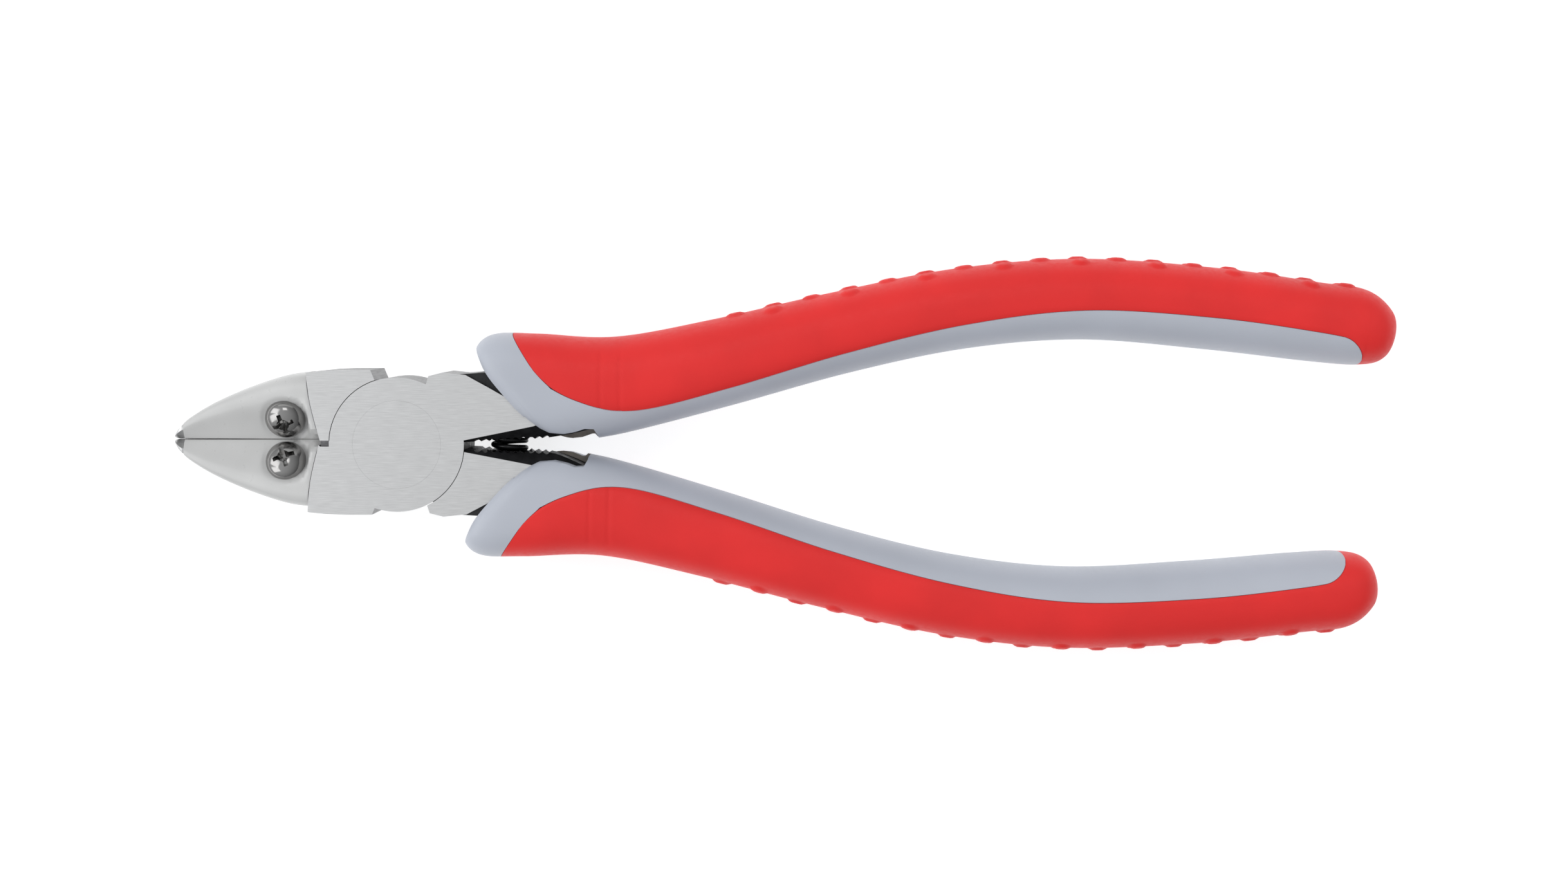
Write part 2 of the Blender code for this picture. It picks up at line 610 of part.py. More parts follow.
def make_sleeve(lever, home, cutters):
    """The grey moulding: guard, inner band and the core under the soft cover."""
    bm = bmesh.new()
    ks = GRIP_ROWS[:-1]
    top = grip_grid(bm, lever, ks, 0.0, SOFT_GAP_ANGLE, SOFT_GAP_RUNGS)
    under = grip_grid(bm, lever, ks, SOFT_WALL + FIT_GAP, SOFT_GAP_ANGLE, SOFT_GAP_RUNGS)
    count = len(top[0])
    for i, k in enumerate(ks[:-1]):
        for j in range(count):
            m = (j + 1) % count
            grid = under if is_soft(k, j) else top
            bm.faces.new((grid[i][j], grid[i][m], grid[i + 1][m], grid[i + 1][j]))
            if i and is_soft(k, j) != is_soft(ks[i - 1], j):
                bm.faces.new((top[i][j], top[i][m], under[i][m], under[i][j]))
            if is_soft(k, j) != is_soft(k, (j - 1) % count):
                bm.faces.new((top[i][j], top[i + 1][j], under[i + 1][j], under[i][j]))
    bm.faces.new(top[0])
    bm.faces.new(under[-1])
    drop_loose(bm)
    sleeve = mesh_object(f"{lever.name}_grip_sleeve", bm, home)
    boolean(sleeve, "DIFFERENCE", make_arm(f"{lever.name}_arm_space", lever, cutters, FIT_GAP))
    root_space = prism(f"{lever.name}_root_space", lever, grown(root_outline(lever), FIT_GAP), -MID - FIT_GAP,
                       MID + FIT_GAP, cutters)
    boolean(sleeve, "DIFFERENCE", root_space)
    trim = [lever.turned(x, v) for x, v in FRONT_CHEEK_TRIM]
    low, high = (0.7, 9.0) if lever.side > 0 else (-9.0, -0.7)
    cheek_trim = prism(f"{lever.name}_cheek_trim", lever, trim[::-1], low, high, cutters)
    boolean(sleeve, "DIFFERENCE", cheek_trim, use_self=True)
    return sleeve


def drop_loose(bm):
    bmesh.ops.delete(bm, geom=[v for v in bm.verts if not v.link_faces], context="VERTS")


# --- rivet and spring ----------------------------------------------------------------------

def rivet_profile(gap, past):
    """The rivet's radii from front to back, grown by gap and carried past both faces."""
    head, shank = RIVET_HEAD_RADIUS + gap, RIVET_SHANK_RADIUS + gap
    top = HEAD_THICKNESS
    return [(head, top + past), (head, top - RIVET_RIM), (shank, top - RIVET_CONE), (shank, RIVET_CONE),
            (head, RIVET_RIM), (head, -past)]


def make_rivet(home):
    return turned("pivot_rivet", rivet_profile(0.0, 0.0), home)


def make_rivet_hole(cutters):
    return turned("rivet_hole", rivet_profile(RUNNING_GAP, 1.0), cutters)


def make_spring(home):
    curve = bpy.data.curves.new("return_spring", "CURVE")
    curve.dimensions = "3D"
    curve.bevel_depth = SPRING_WIRE_RADIUS * MM
    curve.bevel_resolution = 1
    curve.use_fill_caps = True
    steps = SPRING_TURNS * 12
    spline = curve.splines.new("POLY")
    spline.points.add(steps)
    start, end = SPRING_END_Y
    for i in range(steps + 1):
        turn = 2 * math.pi * i / 12
        spline.points[i].co = (
            (SPRING_X + SPRING_COIL_RADIUS * math.cos(turn)) * MM,
            (start + (end - start) * i / steps) * MM,
            (MID + SPRING_COIL_RADIUS * math.sin(turn)) * MM, 1)
    drawn = bpy.data.objects.new("return_spring", curve)
    home.objects.link(drawn)
    return curve_to_mesh(drawn, home)


def paint(made, name):
    made.data.materials.clear()
    made.data.materials.append(material(name))
    made.data.shade_smooth()
    made.data.set_sharp_from_angle(angle=math.radians(35))


def main():
    for old in list(bpy.data.objects):
        bpy.data.objects.remove(old)
    home = collection("jaw_cover_nippers")
    cutters = collection("cutters")
    make_rivet_hole(cutters)
    front = Lever("front_lever", 1, FRONT_JAW_DEPTH, FRONT_ROOT_V, 0.0, 0.0)
    rear = Lever("rear_lever", -1, REAR_JAW_DEPTH, REAR_ROOT_V, LOWER_GRIP_TURN, LOWER_GRIP_SHIFT)
    for lever in (front, rear):
        paint(make_lever(lever, home, cutters), "ground_steel")
        paint(make_cover(lever, home, cutters), "jaw_cover_plastic")
        paint(make_cover_screw(lever, home, cutters), "screw_steel")
        paint(make_sleeve(lever, home, cutters), "grey_plastic")
        paint(make_soft_cover(lever, home), "red_elastomer")
    paint(make_rivet(home), "ground_steel")
    paint(make_spring(home), "black_steel")
    for cutter in cutters.objects:
        cutter.hide_render = True
        cutter.display_type = "WIRE"


main()
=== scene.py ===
import json
import math

import bmesh
import bpy
from mathutils import Matrix, Vector

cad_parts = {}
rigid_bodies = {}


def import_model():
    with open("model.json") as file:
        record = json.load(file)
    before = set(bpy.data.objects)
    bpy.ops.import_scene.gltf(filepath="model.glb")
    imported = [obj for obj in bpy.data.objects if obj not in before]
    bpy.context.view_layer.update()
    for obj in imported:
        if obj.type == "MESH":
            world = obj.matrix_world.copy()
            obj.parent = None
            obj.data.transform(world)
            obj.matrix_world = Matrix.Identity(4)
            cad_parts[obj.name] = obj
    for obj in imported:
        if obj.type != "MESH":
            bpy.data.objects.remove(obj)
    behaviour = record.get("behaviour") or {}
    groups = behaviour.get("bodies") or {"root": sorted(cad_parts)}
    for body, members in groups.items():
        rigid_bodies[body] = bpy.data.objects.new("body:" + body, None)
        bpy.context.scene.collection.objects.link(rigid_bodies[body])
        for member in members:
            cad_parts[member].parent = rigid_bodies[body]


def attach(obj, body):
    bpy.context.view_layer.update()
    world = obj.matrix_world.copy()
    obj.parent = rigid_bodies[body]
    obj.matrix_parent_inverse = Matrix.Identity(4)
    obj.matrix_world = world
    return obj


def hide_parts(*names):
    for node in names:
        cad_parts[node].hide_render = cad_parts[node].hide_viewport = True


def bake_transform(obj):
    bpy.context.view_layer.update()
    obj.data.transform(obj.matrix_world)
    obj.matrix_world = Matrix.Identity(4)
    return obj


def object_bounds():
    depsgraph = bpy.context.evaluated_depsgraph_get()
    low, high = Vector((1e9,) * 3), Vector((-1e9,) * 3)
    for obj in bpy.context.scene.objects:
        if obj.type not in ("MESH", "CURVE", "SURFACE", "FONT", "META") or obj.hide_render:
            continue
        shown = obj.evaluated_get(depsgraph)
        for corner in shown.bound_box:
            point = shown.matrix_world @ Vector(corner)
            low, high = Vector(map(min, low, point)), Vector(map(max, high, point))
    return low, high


# The look of a pair of nippers with screwed-on jaw covers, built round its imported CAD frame.
#
# X runs along the tool, jaw tips at -X. Z is the rivet's axis, with Z = 0 the back of the ground head.
# Each lever is drawn in its own plan view (x, v), where v points to its handle's side. The front lever's
# handle is at +Y; the rear lever is the same design turned over about the X axis. Lengths are in
# millimetres until they become coordinates.

MM = 0.001

# Head
HEAD_THICKNESS = 10.0
MID = HEAD_THICKNESS / 2
DISC_RADIUS = 9.0
SEAM = 0.09                     # the lap joint's visible gap
HAIRLINE = 0.009                # the rivet's visible gap
ROUND_SEGMENTS = 128

# Jaws: depth is measured from the jaw line, where the two jaws meet
JAW_LINE_Y = 0.55
TIP_X = -30.9
SHOULDER_X = -3.4
FRONT_JAW_DEPTH = 9.95
REAR_JAW_DEPTH = 9.45
JAW_OUTLINE = ((-31.2, 0.1), (-30.4, 0.98), (-29.9, 1.65), (-28.5, 2.98), (-25.0, 5.05), (-20.0, 7.2),
               (-15.0, 8.75), (-11.0, 9.2))
COVER_BACK_EDGE = ((-10.25, 0.0), (-11.05, 3.0), (-11.65, 5.8), (-11.98, 9.0), (-12.0, 12.0))
TIP_ROUND = 0.7
COVER_TIP_X = -29.3
COVER_END_X = -9.6              # the cover is drawn this far, then cut to its back edge
COVER_STATIONS = 110
COVER_COLUMNS = 40
RIDGE_SHARE = 0.65              # depth of the covered jaw's ridge, as a share of the jaw's depth
COVER_WALL = 1.6
JAW_TIP_HALF = 1.5              # half thickness of the covered jaw at its tip
JAW_BACK_HALF = 4.95            # and at its back edge
CORE_EDGE = 0.25                # half thickness of the core's edge on the jaw line
CORE_DEPTH = 9.0                # the core's depth before the cover's wall is taken off it
CORE_END_X = -9.5
COVER_SEAM = 0.10
HALF_MEETING_GAP = 0.05
JAW_RELIEF = (-8.6, -10.25, 0.8)
NICK_DEPTH = 1.1
COVER_RIM = (0.7, 1.9)          # the valley fades out between these distances from the cover's back edge
SPOT_FACE = (2.85, 3.5, 0.38)   # flat to this radius, faded out by the next, and this deep

# Cover screws
SCREW_X = -15.3
SCREW_DEPTH = 2.72
SCREW_TILT = math.radians(26)
SCREW_HEAD_RADIUS = 2.7
SCREW_HEAD_HEIGHT = 1.9
SCREW_SHANK_RADIUS = 1.45

# Rivet
RIVET_HEAD_RADIUS = 5.9
RIVET_SHANK_RADIUS = 4.0
RIVET_RIM = 0.8
RIVET_CONE = 2.4

# Handle roots
ROOT_DEPTH = 9.65
ROOT_OUTLINE = ((3.0, 0.0), (9.0, 0.0), (18.3, 2.0), (19.4, 2.5), (15.0, 5.9), (12.2, 7.6), (9.3, 9.3),
                (6.2, 9.65), (4.35, 9.15), (4.05, 8.1), (3.0, 6.0))
FRONT_ROOT_V = 0.59
REAR_ROOT_V = 0.98

# Forged arms: outer x, v, inner x, v, half thickness, chamfer of the inner edges
ARM_RUNGS = (
    (6.8, 9.3, 8.4, 0.3, 4.6, 0.1),
    (12.5, 9.6, 13.6, 0.5, 4.6, 1.0),
    (16.5, 8.9, 20.0, 0.8, 4.4, 1.9),
    (22.0, 7.2, 26.0, 2.05, 3.4, 1.0),
    (29.5, 8.2, 31.0, 4.1, 2.8, 0.4),
    (43.0, 11.9, 44.2, 8.0, 2.5, 0.3),
)
FIRST_TURNED_ARM_RUNG = 3
TOOTH_PITCH = 1.0
TOOTH_DEPTH = 0.35
TOOTH_SPAN = (10.2, 20.2)

# Return spring
SPRING_X = 14.5
SPRING_COIL_RADIUS = 2.18
SPRING_WIRE_RADIUS = 0.36
SPRING_TURNS = 7
SPRING_END_Y = (-3.6, 3.2)
SOCKET_RADIUS = 3.1
SOCKET_FLOOR_V = 4.3

# Grips: outer x, v, inner x, v, thickness over width, how square, share of the width that is grey
GRIP_RUNGS = (
    (11.2, 11.6, 18.8, 2.8, 0.98, 3.6, 1.0),
    (10.5, 13.2, 20.2, 1.3, 0.87, 3.6, 1.0),
    (12.8, 14.8, 22.8, 0.45, 0.80, 3.2, 0.76),
    (18.5, 14.8, 27.0, 0.75, 0.86, 2.8, 0.385),
    (29.0, 14.4, 33.0, 2.0, 1.04, 2.5, 0.21),
    (42.0, 16.7, 45.5, 5.3, 1.15, 2.4, 0.205),
    (58.0, 20.3, 61.0, 9.6, 1.22, 2.4, 0.25),
    (75.0, 23.6, 76.5, 12.8, 1.25, 2.4, 0.30),
    (92.0, 24.9, 92.0, 14.0, 1.25, 2.4, 0.36),
    (110.0, 23.7, 108.5, 12.7, 1.22, 2.4, 0.385),
    (124.0, 21.75, 122.5, 11.1, 1.21, 2.4, 0.365),
    (130.3, 20.75, 129.4, 10.6, 1.20, 2.4, 0.30),
    (133.7, 18.1, 132.8, 11.5, 1.24, 2.3, 0.30),
    (134.65, 15.2, 134.65, 14.9, 1.24, 2.2, 0.30),
)
NOSE_RUNG = 2.52
NOSE_ROUND = 0.25
NOSE_SHARE = 0.15               # how much more of the width is grey at its very start
TAIL_RUNG = 10.95
TAIL_ROUND = 0.6
END_RUNG = 12.97
INSET_TAIL = (11.0, 0.63)
SOFT_WALL = 1.2
TAIL_ANGLE = math.radians(155)
SOFT_SEAM = 0.05
LIP_RUNGS = 0.4
LIP_RADIUS = 0.75
GUARD_BULGE = 0.9               # how far the guard's front edge bows forward at its middle
LOWER_GRIP_TURN = math.radians(1.9)
LOWER_GRIP_SHIFT = -1.3
FRONT_CHEEK_TRIM = ((16.0, -4.0), (17.2, 3.9), (18.4, 2.6), (20.4, 1.6), (22.4, 1.42), (24.0, 1.75),
                    (25.2, 2.15), (26.4, 2.1), (26.8, 1.2), (27.1, -4.0))
CHEEK_NOTCH = ((22.8, -4.0), (23.0, 0.5), (24.2, 0.62), (25.6, 1.1), (25.95, 1.1), (26.6, 0.4),
               (26.7, -4.0))
# Where along the grip the pocket's cheek faces get painted shade
PAINTED_SHADE_SPAN = (16.0, 27.5)
DOT_SPAN = (45.2, 127.6)
DOT_PITCH = 5.14
DOT_ACROSS = 3.4
DOT_SIZE = (1.2, 1.0, 0.32)     # half length, half width, height
CREASES = (27.4, 30.0)

FLOOR_GLOW = 0.72


class Lever:
    """Where one lever's plan view lies in the tool."""

    def __init__(self, name, side, jaw_depth, root_v, turn, shift):
        self.name = name
        self.body = name.replace("lever", "half")
        self.side = side
        self.jaw_depth = jaw_depth
        self.root_v = root_v
        self.turn = turn
        self.shift = shift
        self.jaw_line_v = side * JAW_LINE_Y

    def point(self, x, v, up=0.0):
        """A point of the plan view, up millimetres from the mid-plane to the lever's own face."""
        return Vector((x, self.side * v, MID + self.side * up)) * MM

    def jaw_point(self, x, depth, up=0.0):
        return self.point(x, self.jaw_line_v - depth, up)

    def turned(self, x, v):
        """A plan point of the grip, moved to where this lever's handle lies."""
        c, s = math.cos(self.turn), math.sin(self.turn)
        return x * c - v * s + self.shift, x * s + v * c

    def unturned(self, x, v):
        """The plan point that turned() would move to (x, v)."""
        c, s = math.cos(self.turn), math.sin(self.turn)
        return (x - self.shift) * c + v * s, v * c - (x - self.shift) * s


# --- curves and meshes ------------------------------------------------------------------

def catmull(rows, t):
    """The row at parameter t of a smooth curve that passes row i at t = i."""
    last = len(rows) - 1
    t = min(max(t, 0.0), last)
    i = min(int(t), last - 1)
    u = t - i
    a, b, c, d = (rows[min(max(j, 0), last)] for j in (i - 1, i, i + 1, i + 2))
    return [0.5 * (2 * q + (r - p) * u + (2 * p - 5 * q + 4 * r - s) * u * u
                   + (3 * q - p - 3 * r + s) * u ** 3)
            for p, q, r, s in zip(a, b, c, d)]


def value_at(points, x):
    """Height at x of the smooth curve through points, whose x values rise."""
    low, high = 0.0, len(points) - 1.0
    for _ in range(40):
        middle = (low + high) / 2
        if catmull(points, middle)[0] < x:
            low = middle
        else:
            high = middle
    return catmull(points, low)[1]


def smooth(low, high, value):
    t = min(max((value - low) / (high - low), 0.0), 1.0)
    return t * t * (3 - 2 * t)


def mesh_object(name, bm):
    bmesh.ops.remove_doubles(bm, verts=bm.verts, dist=0.0005 * MM)
    bmesh.ops.recalc_face_normals(bm, faces=bm.faces)
    if bm.calc_volume(signed=True) < 0:
        bmesh.ops.reverse_faces(bm, faces=bm.faces)
    mesh = bpy.data.meshes.new(name)
    bm.to_mesh(mesh)
    bm.free()
    made = bpy.data.objects.new(name, mesh)
    bpy.context.scene.collection.objects.link(made)
    return made


def loft(name, rings):
    """A closed solid through rings of equally many points."""
    bm = bmesh.new()
    rows = [[bm.verts.new(p) for p in ring] for ring in rings]
    for near, far in zip(rows, rows[1:]):
        for j in range(len(near)):
            k = (j + 1) % len(near)
            bm.faces.new((near[j], near[k], far[k], far[j]))
    bm.faces.new(rows[0])
    bm.faces.new(rows[-1])
    return mesh_object(name, bm)


def flattened(made):
    """The object with its modifiers applied, or its curve turned into a mesh."""
    bpy.context.view_layer.update()
    evaluated = made.evaluated_get(bpy.context.evaluated_depsgraph_get())
    mesh = bpy.data.meshes.new_from_object(evaluated)
    name = made.name
    mesh.transform(made.matrix_world)
    bpy.data.objects.remove(made)
    flat = bpy.data.objects.new(name, mesh)
    bpy.context.scene.collection.objects.link(flat)
    return flat


def prism(name, lever, outline, low, high):
    """A flat plan outline, between two heights above the mid-plane."""
    curve = bpy.data.curves.new(name, "CURVE")
    curve.dimensions = "2D"
    curve.fill_mode = "BOTH"
    curve.extrude = (high - low) / 2 * MM
    spline = curve.splines.new("POLY")
    spline.points.add(len(outline) - 1)
    for point, (x, v) in zip(spline.points, outline):
        point.co = (x * MM, lever.side * v * MM, 0, 1)
    spline.use_cyclic_u = True
    drawn = bpy.data.objects.new(name, curve)
    drawn.location.z = (MID + lever.side * (low + high) / 2) * MM
    bpy.context.scene.collection.objects.link(drawn)
    flat = flattened(drawn)
    bm = bmesh.new()
    bm.from_mesh(flat.data)
    bpy.data.objects.remove(flat)
    return mesh_object(name, bm)


def placed(start, end):
    """The matrix that lays Z = 0 to Z = 1 of a thing along the line from start to end."""
    return Matrix.Translation(start) @ (end - start).to_track_quat("Z", "Y").to_matrix().to_4x4()


def turned_solid(name, profile, segments=ROUND_SEGMENTS):
    """A solid of revolution about Z from (radius, z) rows."""
    turns = [2 * math.pi * i / segments for i in range(segments)]
    rings = [[Vector((r * math.cos(turn), r * math.sin(turn), z)) * MM for turn in turns]
             for r, z in profile]
    return loft(name, rings)


def cylinder(name, radius, start, end, segments=ROUND_SEGMENTS):
    made = turned_solid(name, [(radius, 0.0), (radius, (end - start).length / MM)], segments)
    made.data.transform(placed(start, end))
    return made


def combine(target, operation, other, use_self=False):
    """Applies a Boolean and removes the second object."""
    modifier = target.modifiers.new(other.name, "BOOLEAN")
    modifier.use_self = use_self
    modifier.operation = operation
    modifier.solver = "EXACT"
    modifier.object = other
    result = flattened(target)
    bpy.data.objects.remove(other)
    return result


def grown(outline, amount):
    """The outline moved outward by amount, for an outline that runs anticlockwise."""
    moved = []
    for before, here, after in zip(outline[-1:] + outline[:-1], outline, outline[1:] + outline[:1]):
        to_here = Vector(here) - Vector(before)
        onward = Vector(after) - Vector(here)
        normal = Vector((to_here.y, -to_here.x)).normalized() + Vector((onward.y, -onward.x)).normalized()
        normal *= amount / max(normal.length_squared / 2, 0.6)
        moved.append((here[0] + normal.x, here[1] + normal.y))
    return moved


def shade(made, degrees=35):
    made.data.shade_smooth()
    made.data.set_sharp_from_angle(angle=math.radians(degrees))


def soften(made, width, segments=2, degrees=32):
    """Breaks the sharp edges of a machined piece, so that they catch light."""
    bevel = made.modifiers.new("broken_edges", "BEVEL")
    bevel.width = width * MM
    bevel.segments = segments
    bevel.limit_method = "ANGLE"
    bevel.angle_limit = math.radians(degrees)
    bevel.use_clamp_overlap = True
    bevel.harden_normals = False


# --- jaws -----------------------------------------------------------------------------

def back_edge(share):
    """Point of the cover's back edge in (x, depth), share 0 at the jaw line and 1 at the far end."""
    return catmull(COVER_BACK_EDGE, share * (len(COVER_BACK_EDGE) - 1))


def jaw_body_outline(lever):
    """Plan outline of the jaw's bare steel, from the cover's back edge to the shoulder."""
    line = lever.jaw_line_v
    edge = [back_edge(t / 24) for t in range(25)]
    outline = [(x, line - depth) for x, depth in edge if depth < lever.jaw_depth - 0.35]
    outline.append((COVER_BACK_EDGE[-1][0], line - lever.jaw_depth + 0.35))
    outline += [(-9.5, line - lever.jaw_depth + 0.1), (-7.0, line - lever.jaw_depth),
                (SHOULDER_X, line - lever.jaw_depth)]
    outline += [(SHOULDER_X + 0.5, line - lever.jaw_depth + 1.2), (-2.0, -6.0),
                (-8.0, line - 0.02 * lever.side)]
    return outline


def jaw_half_thickness(x):
    """Half thickness of the covered jaw at its ridge."""
    along = (x - TIP_X) / (COVER_BACK_EDGE[-1][0] - TIP_X)
    return JAW_TIP_HALF + (JAW_BACK_HALF - JAW_TIP_HALF) * min(max(along, 0.0), 1.0) ** 0.72


def valley_half_thickness(x):
    """Half thickness of the covered jaw at the jaw line."""
    return jaw_half_thickness(x) - math.tan(SCREW_TILT) * RIDGE_SHARE * value_at(JAW_OUTLINE, x)


def jaw_core_ring(lever, x):
    """Section of the steel under the cover: a wedge with its edge on the jaw line and a rounded nose."""
    wall = COVER_WALL * min(1.0, max(0.0, (x - COVER_TIP_X + 0.35) / 2.5))
    depth = min(value_at(JAW_OUTLINE, x), CORE_DEPTH) - wall
    thick = jaw_half_thickness(x) - wall * 0.9
    near = max(0.0, 1 - (x - TIP_X) / TIP_ROUND)
    nose = 0.25 + 0.75 * math.sqrt(1 - near ** 2)
    ring = ((HALF_MEETING_GAP / 2, -CORE_EDGE), (depth * 0.62, -thick), (depth * 0.95, -thick * 0.9),
            (depth, -thick * 0.55), (depth, thick * 0.55), (depth * 0.95, thick * 0.9),
            (depth * 0.62, thick), (HALF_MEETING_GAP / 2, CORE_EDGE))
    middle = depth * 0.55
    return [lever.jaw_point(x, middle + (d - middle) * nose, up * nose) for d, up in ring]


def screw_seat(lever):
    """Centre of the screw's seat on the cover, and the way its axis points out of it."""
    ridge = value_at(JAW_OUTLINE, SCREW_X) * RIDGE_SHARE
    low, high = valley_half_thickness(SCREW_X), jaw_half_thickness(SCREW_X)
    up = (low + (high - low) * SCREW_DEPTH / ridge) * lever.side
    seat = lever.jaw_point(SCREW_X, SCREW_DEPTH, up)
    out = Vector((0, lever.side * math.sin(SCREW_TILT), math.cos(SCREW_TILT)))
    return seat, out


def cover_section(x):
    """Depth and half thickness round one side of the cover's section, from the jaw line to the outer edge."""
    depth = value_at(JAW_OUTLINE, x)
    thick = jaw_half_thickness(x)
    low = valley_half_thickness(x)
    ridge = depth * RIDGE_SHARE
    edge = 0.22
    return ((HALF_MEETING_GAP, 0.0), (HALF_MEETING_GAP, low * 0.55), (HALF_MEETING_GAP + 0.02, low - edge),
            (HALF_MEETING_GAP + edge, low + 0.02), (ridge * 0.45, low + (thick - low) * 0.42),
            (ridge * 0.86, low + (thick - low) * 0.87), (ridge * 1.1, thick * 0.995),
            (depth * 0.86, thick * 0.955), (depth * 0.945, thick * 0.83), (depth * 0.985, thick * 0.58),
            (depth, thick * 0.25), (depth, 0.0))


def cover_height(x, depth, up, front):
    """The cover's half thickness with its back rim and, on the front, the spot face round the screw."""
    thick = jaw_half_thickness(x)
    if up < 0.4 * thick:
        return up
    full = value_at(JAW_OUTLINE, x)
    edge_x = value_at([(d, e) for e, d in COVER_BACK_EDGE], depth)
    rim = 1 - smooth(*COVER_RIM, edge_x - x)
    flat = thick * (0.97 if depth < full * 0.8 else 0.0)
    up = up + (max(flat, up) - up) * rim * smooth(0.0, 1.2, depth)
    if front:
        low = valley_half_thickness(SCREW_X)
        ridge = value_at(JAW_OUTLINE, SCREW_X) * RIDGE_SHARE
        plane = low + (jaw_half_thickness(SCREW_X) - low) * depth / ridge
        radius = math.hypot(x - SCREW_X, (depth - SCREW_DEPTH) / math.cos(SCREW_TILT))
        inside = 1 - smooth(SPOT_FACE[0], SPOT_FACE[1], radius)
        up = up + (min(plane - SPOT_FACE[2], up) - up) * inside
    return up


def cover_ring(lever, x):
    section = cover_section(x)
    last = len(section) - 1
    ring = []
    for sign in (-1, 1):
        steps = range(COVER_COLUMNS + 1) if sign < 0 else range(COVER_COLUMNS - 1, 0, -1)
        for i in steps:
            depth, up = catmull(section, i * last / COVER_COLUMNS)
            up = cover_height(x, depth, up, sign * lever.side > 0)
            ring.append(lever.jaw_point(x, depth, sign * up))
    return ring


def make_cover(lever):
    first, last = COVER_TIP_X - 0.05, COVER_END_X
    xs = [first + (last - first) * i / COVER_STATIONS for i in range(COVER_STATIONS + 1)]
    cover = loft(f"{lever.name}_jaw_cover", [cover_ring(lever, x) for x in xs])
    steel = prism("back_edge", lever, grown(jaw_body_outline(lever), COVER_SEAM), -8, 8)
    cover = combine(cover, "DIFFERENCE", steel)
    soften(cover, 0.12, 3, 50)
    return cover


def make_cover_screw(lever):
    seat, out = screw_seat(lever)
    radius, height = SCREW_HEAD_RADIUS, SCREW_HEAD_HEIGHT
    profile = [(0.02, height)]
    profile += [(radius * math.sin(math.radians(a)), height * math.cos(math.radians(a)) ** 0.85)
                for a in range(5, 90, 5)]
    profile += [(radius, 0.0), (radius * 0.93, -0.1), (SCREW_SHANK_RADIUS, -0.1),
                (SCREW_SHANK_RADIUS, -1.6), (0.4, -1.8)]
    screw = turned_solid(f"{lever.name}_pan_head_screw", profile, 96)
    for angle in (0.35, 0.35 + math.pi / 2):
        screw = combine(screw, "DIFFERENCE", recess_blade(angle, height))
    core = [(0.86, height + 0.4), (0.78, height - 0.4), (0.45, height - 1.15), (0.05, height - 1.5)]
    screw = combine(screw, "DIFFERENCE", turned_solid("recess_core", core, 24))
    screw.data.transform(placed(seat - out * SPOT_FACE[2] * 0.8 * MM, seat + out * MM))
    soften(screw, 0.045, 2, 30)
    return screw


def recess_blade(angle, height):
    """One wing pair of the screw's cross recess: a blade that narrows to its foot."""
    rings = []
    for z, reach, half in ((height + 0.4, 1.75, 0.34), (height - 0.25, 1.5, 0.29), (height - 1.3, 0.7, 0.2)):
        rings.append([Matrix.Rotation(angle, 3, "Z") @ Vector((x, y, z)) * MM
                      for x, y in ((-reach, -half), (reach, -half), (reach, half), (-reach, half))])
    return loft("recess_blade", rings)


# --- levers -----------------------------------------------------------------------------

def arm_ring(lever, row, grow):
    """Section of the forged arm: a flat bar whose inner edges are chamfered."""
    ox, ov, ix, iv, half, chamfer = row
    outer, inner = Vector((ox, ov)), Vector((ix, iv))
    along = (outer - inner).normalized()
    outer = outer + along * grow
    inner = inner - along * grow
    half += grow
    cut = inner + along * chamfer
    drop = chamfer * 1.3
    return [lever.point(p.x, p.y, up) for p, up in (
        (outer, half), (cut, half), (inner, half - drop), (inner, drop - half), (cut, -half), (outer, -half))]


def arm_rows(lever):
    """The arm's rungs, with those inside the grip moved along with it."""
    lift = lever.root_v - FRONT_ROOT_V
    rows = []
    for i, (ox, ov, ix, iv, half, chamfer) in enumerate(ARM_RUNGS):
        if i < FIRST_TURNED_ARM_RUNG:
            rows.append((ox, ov, ix, iv + lift, half, chamfer))
        else:
            rows.append((*lever.turned(ox, ov), *lever.turned(ix, iv), half, chamfer))
    return rows


def make_arm(name, lever, grow=0.0):
    rows = arm_rows(lever)
    steps = [i / 6 for i in range(6 * (len(rows) - 1) + 1)]
    return loft(name, [arm_ring(lever, catmull(rows, t), grow) for t in steps])


def tooth_comb(lever):
    """Plan outline of a comb that cuts the teeth into the arm's inner edge."""
    rows = arm_rows(lever)
    inner = [catmull([row[2:4] for row in rows[:4]], t / 10) for t in range(0, 31)]
    start, end = TOOTH_SPAN
    count = round((end - start) / TOOTH_PITCH)
    scallops = []
    for i in range(count):
        for part in range(6):
            x = start + (i + part / 6) * TOOTH_PITCH
            scallops.append((x, value_at(inner, x) - 0.03 + TOOTH_DEPTH * math.sin(math.pi * part / 6)))
    return [(start, -3.0), (end, -3.0)] + scallops[::-1]


def root_outline(lever):
    """Plan outline of the ground root; its inner corner meets the slot between the handles."""
    return [(x, v + lever.root_v * (1 - v / ROOT_DEPTH)) for x, v in ROOT_OUTLINE]


def rivet_profile(gap, past):
    """The rivet's radii from front to back, grown by gap and carried past both faces."""
    head, shank = RIVET_HEAD_RADIUS + gap, RIVET_SHANK_RADIUS + gap
    top = HEAD_THICKNESS
    return [(head, top + past), (head, top - RIVET_RIM), (shank, top - RIVET_CONE), (shank, RIVET_CONE),
            (head, RIVET_RIM), (head, -past)]


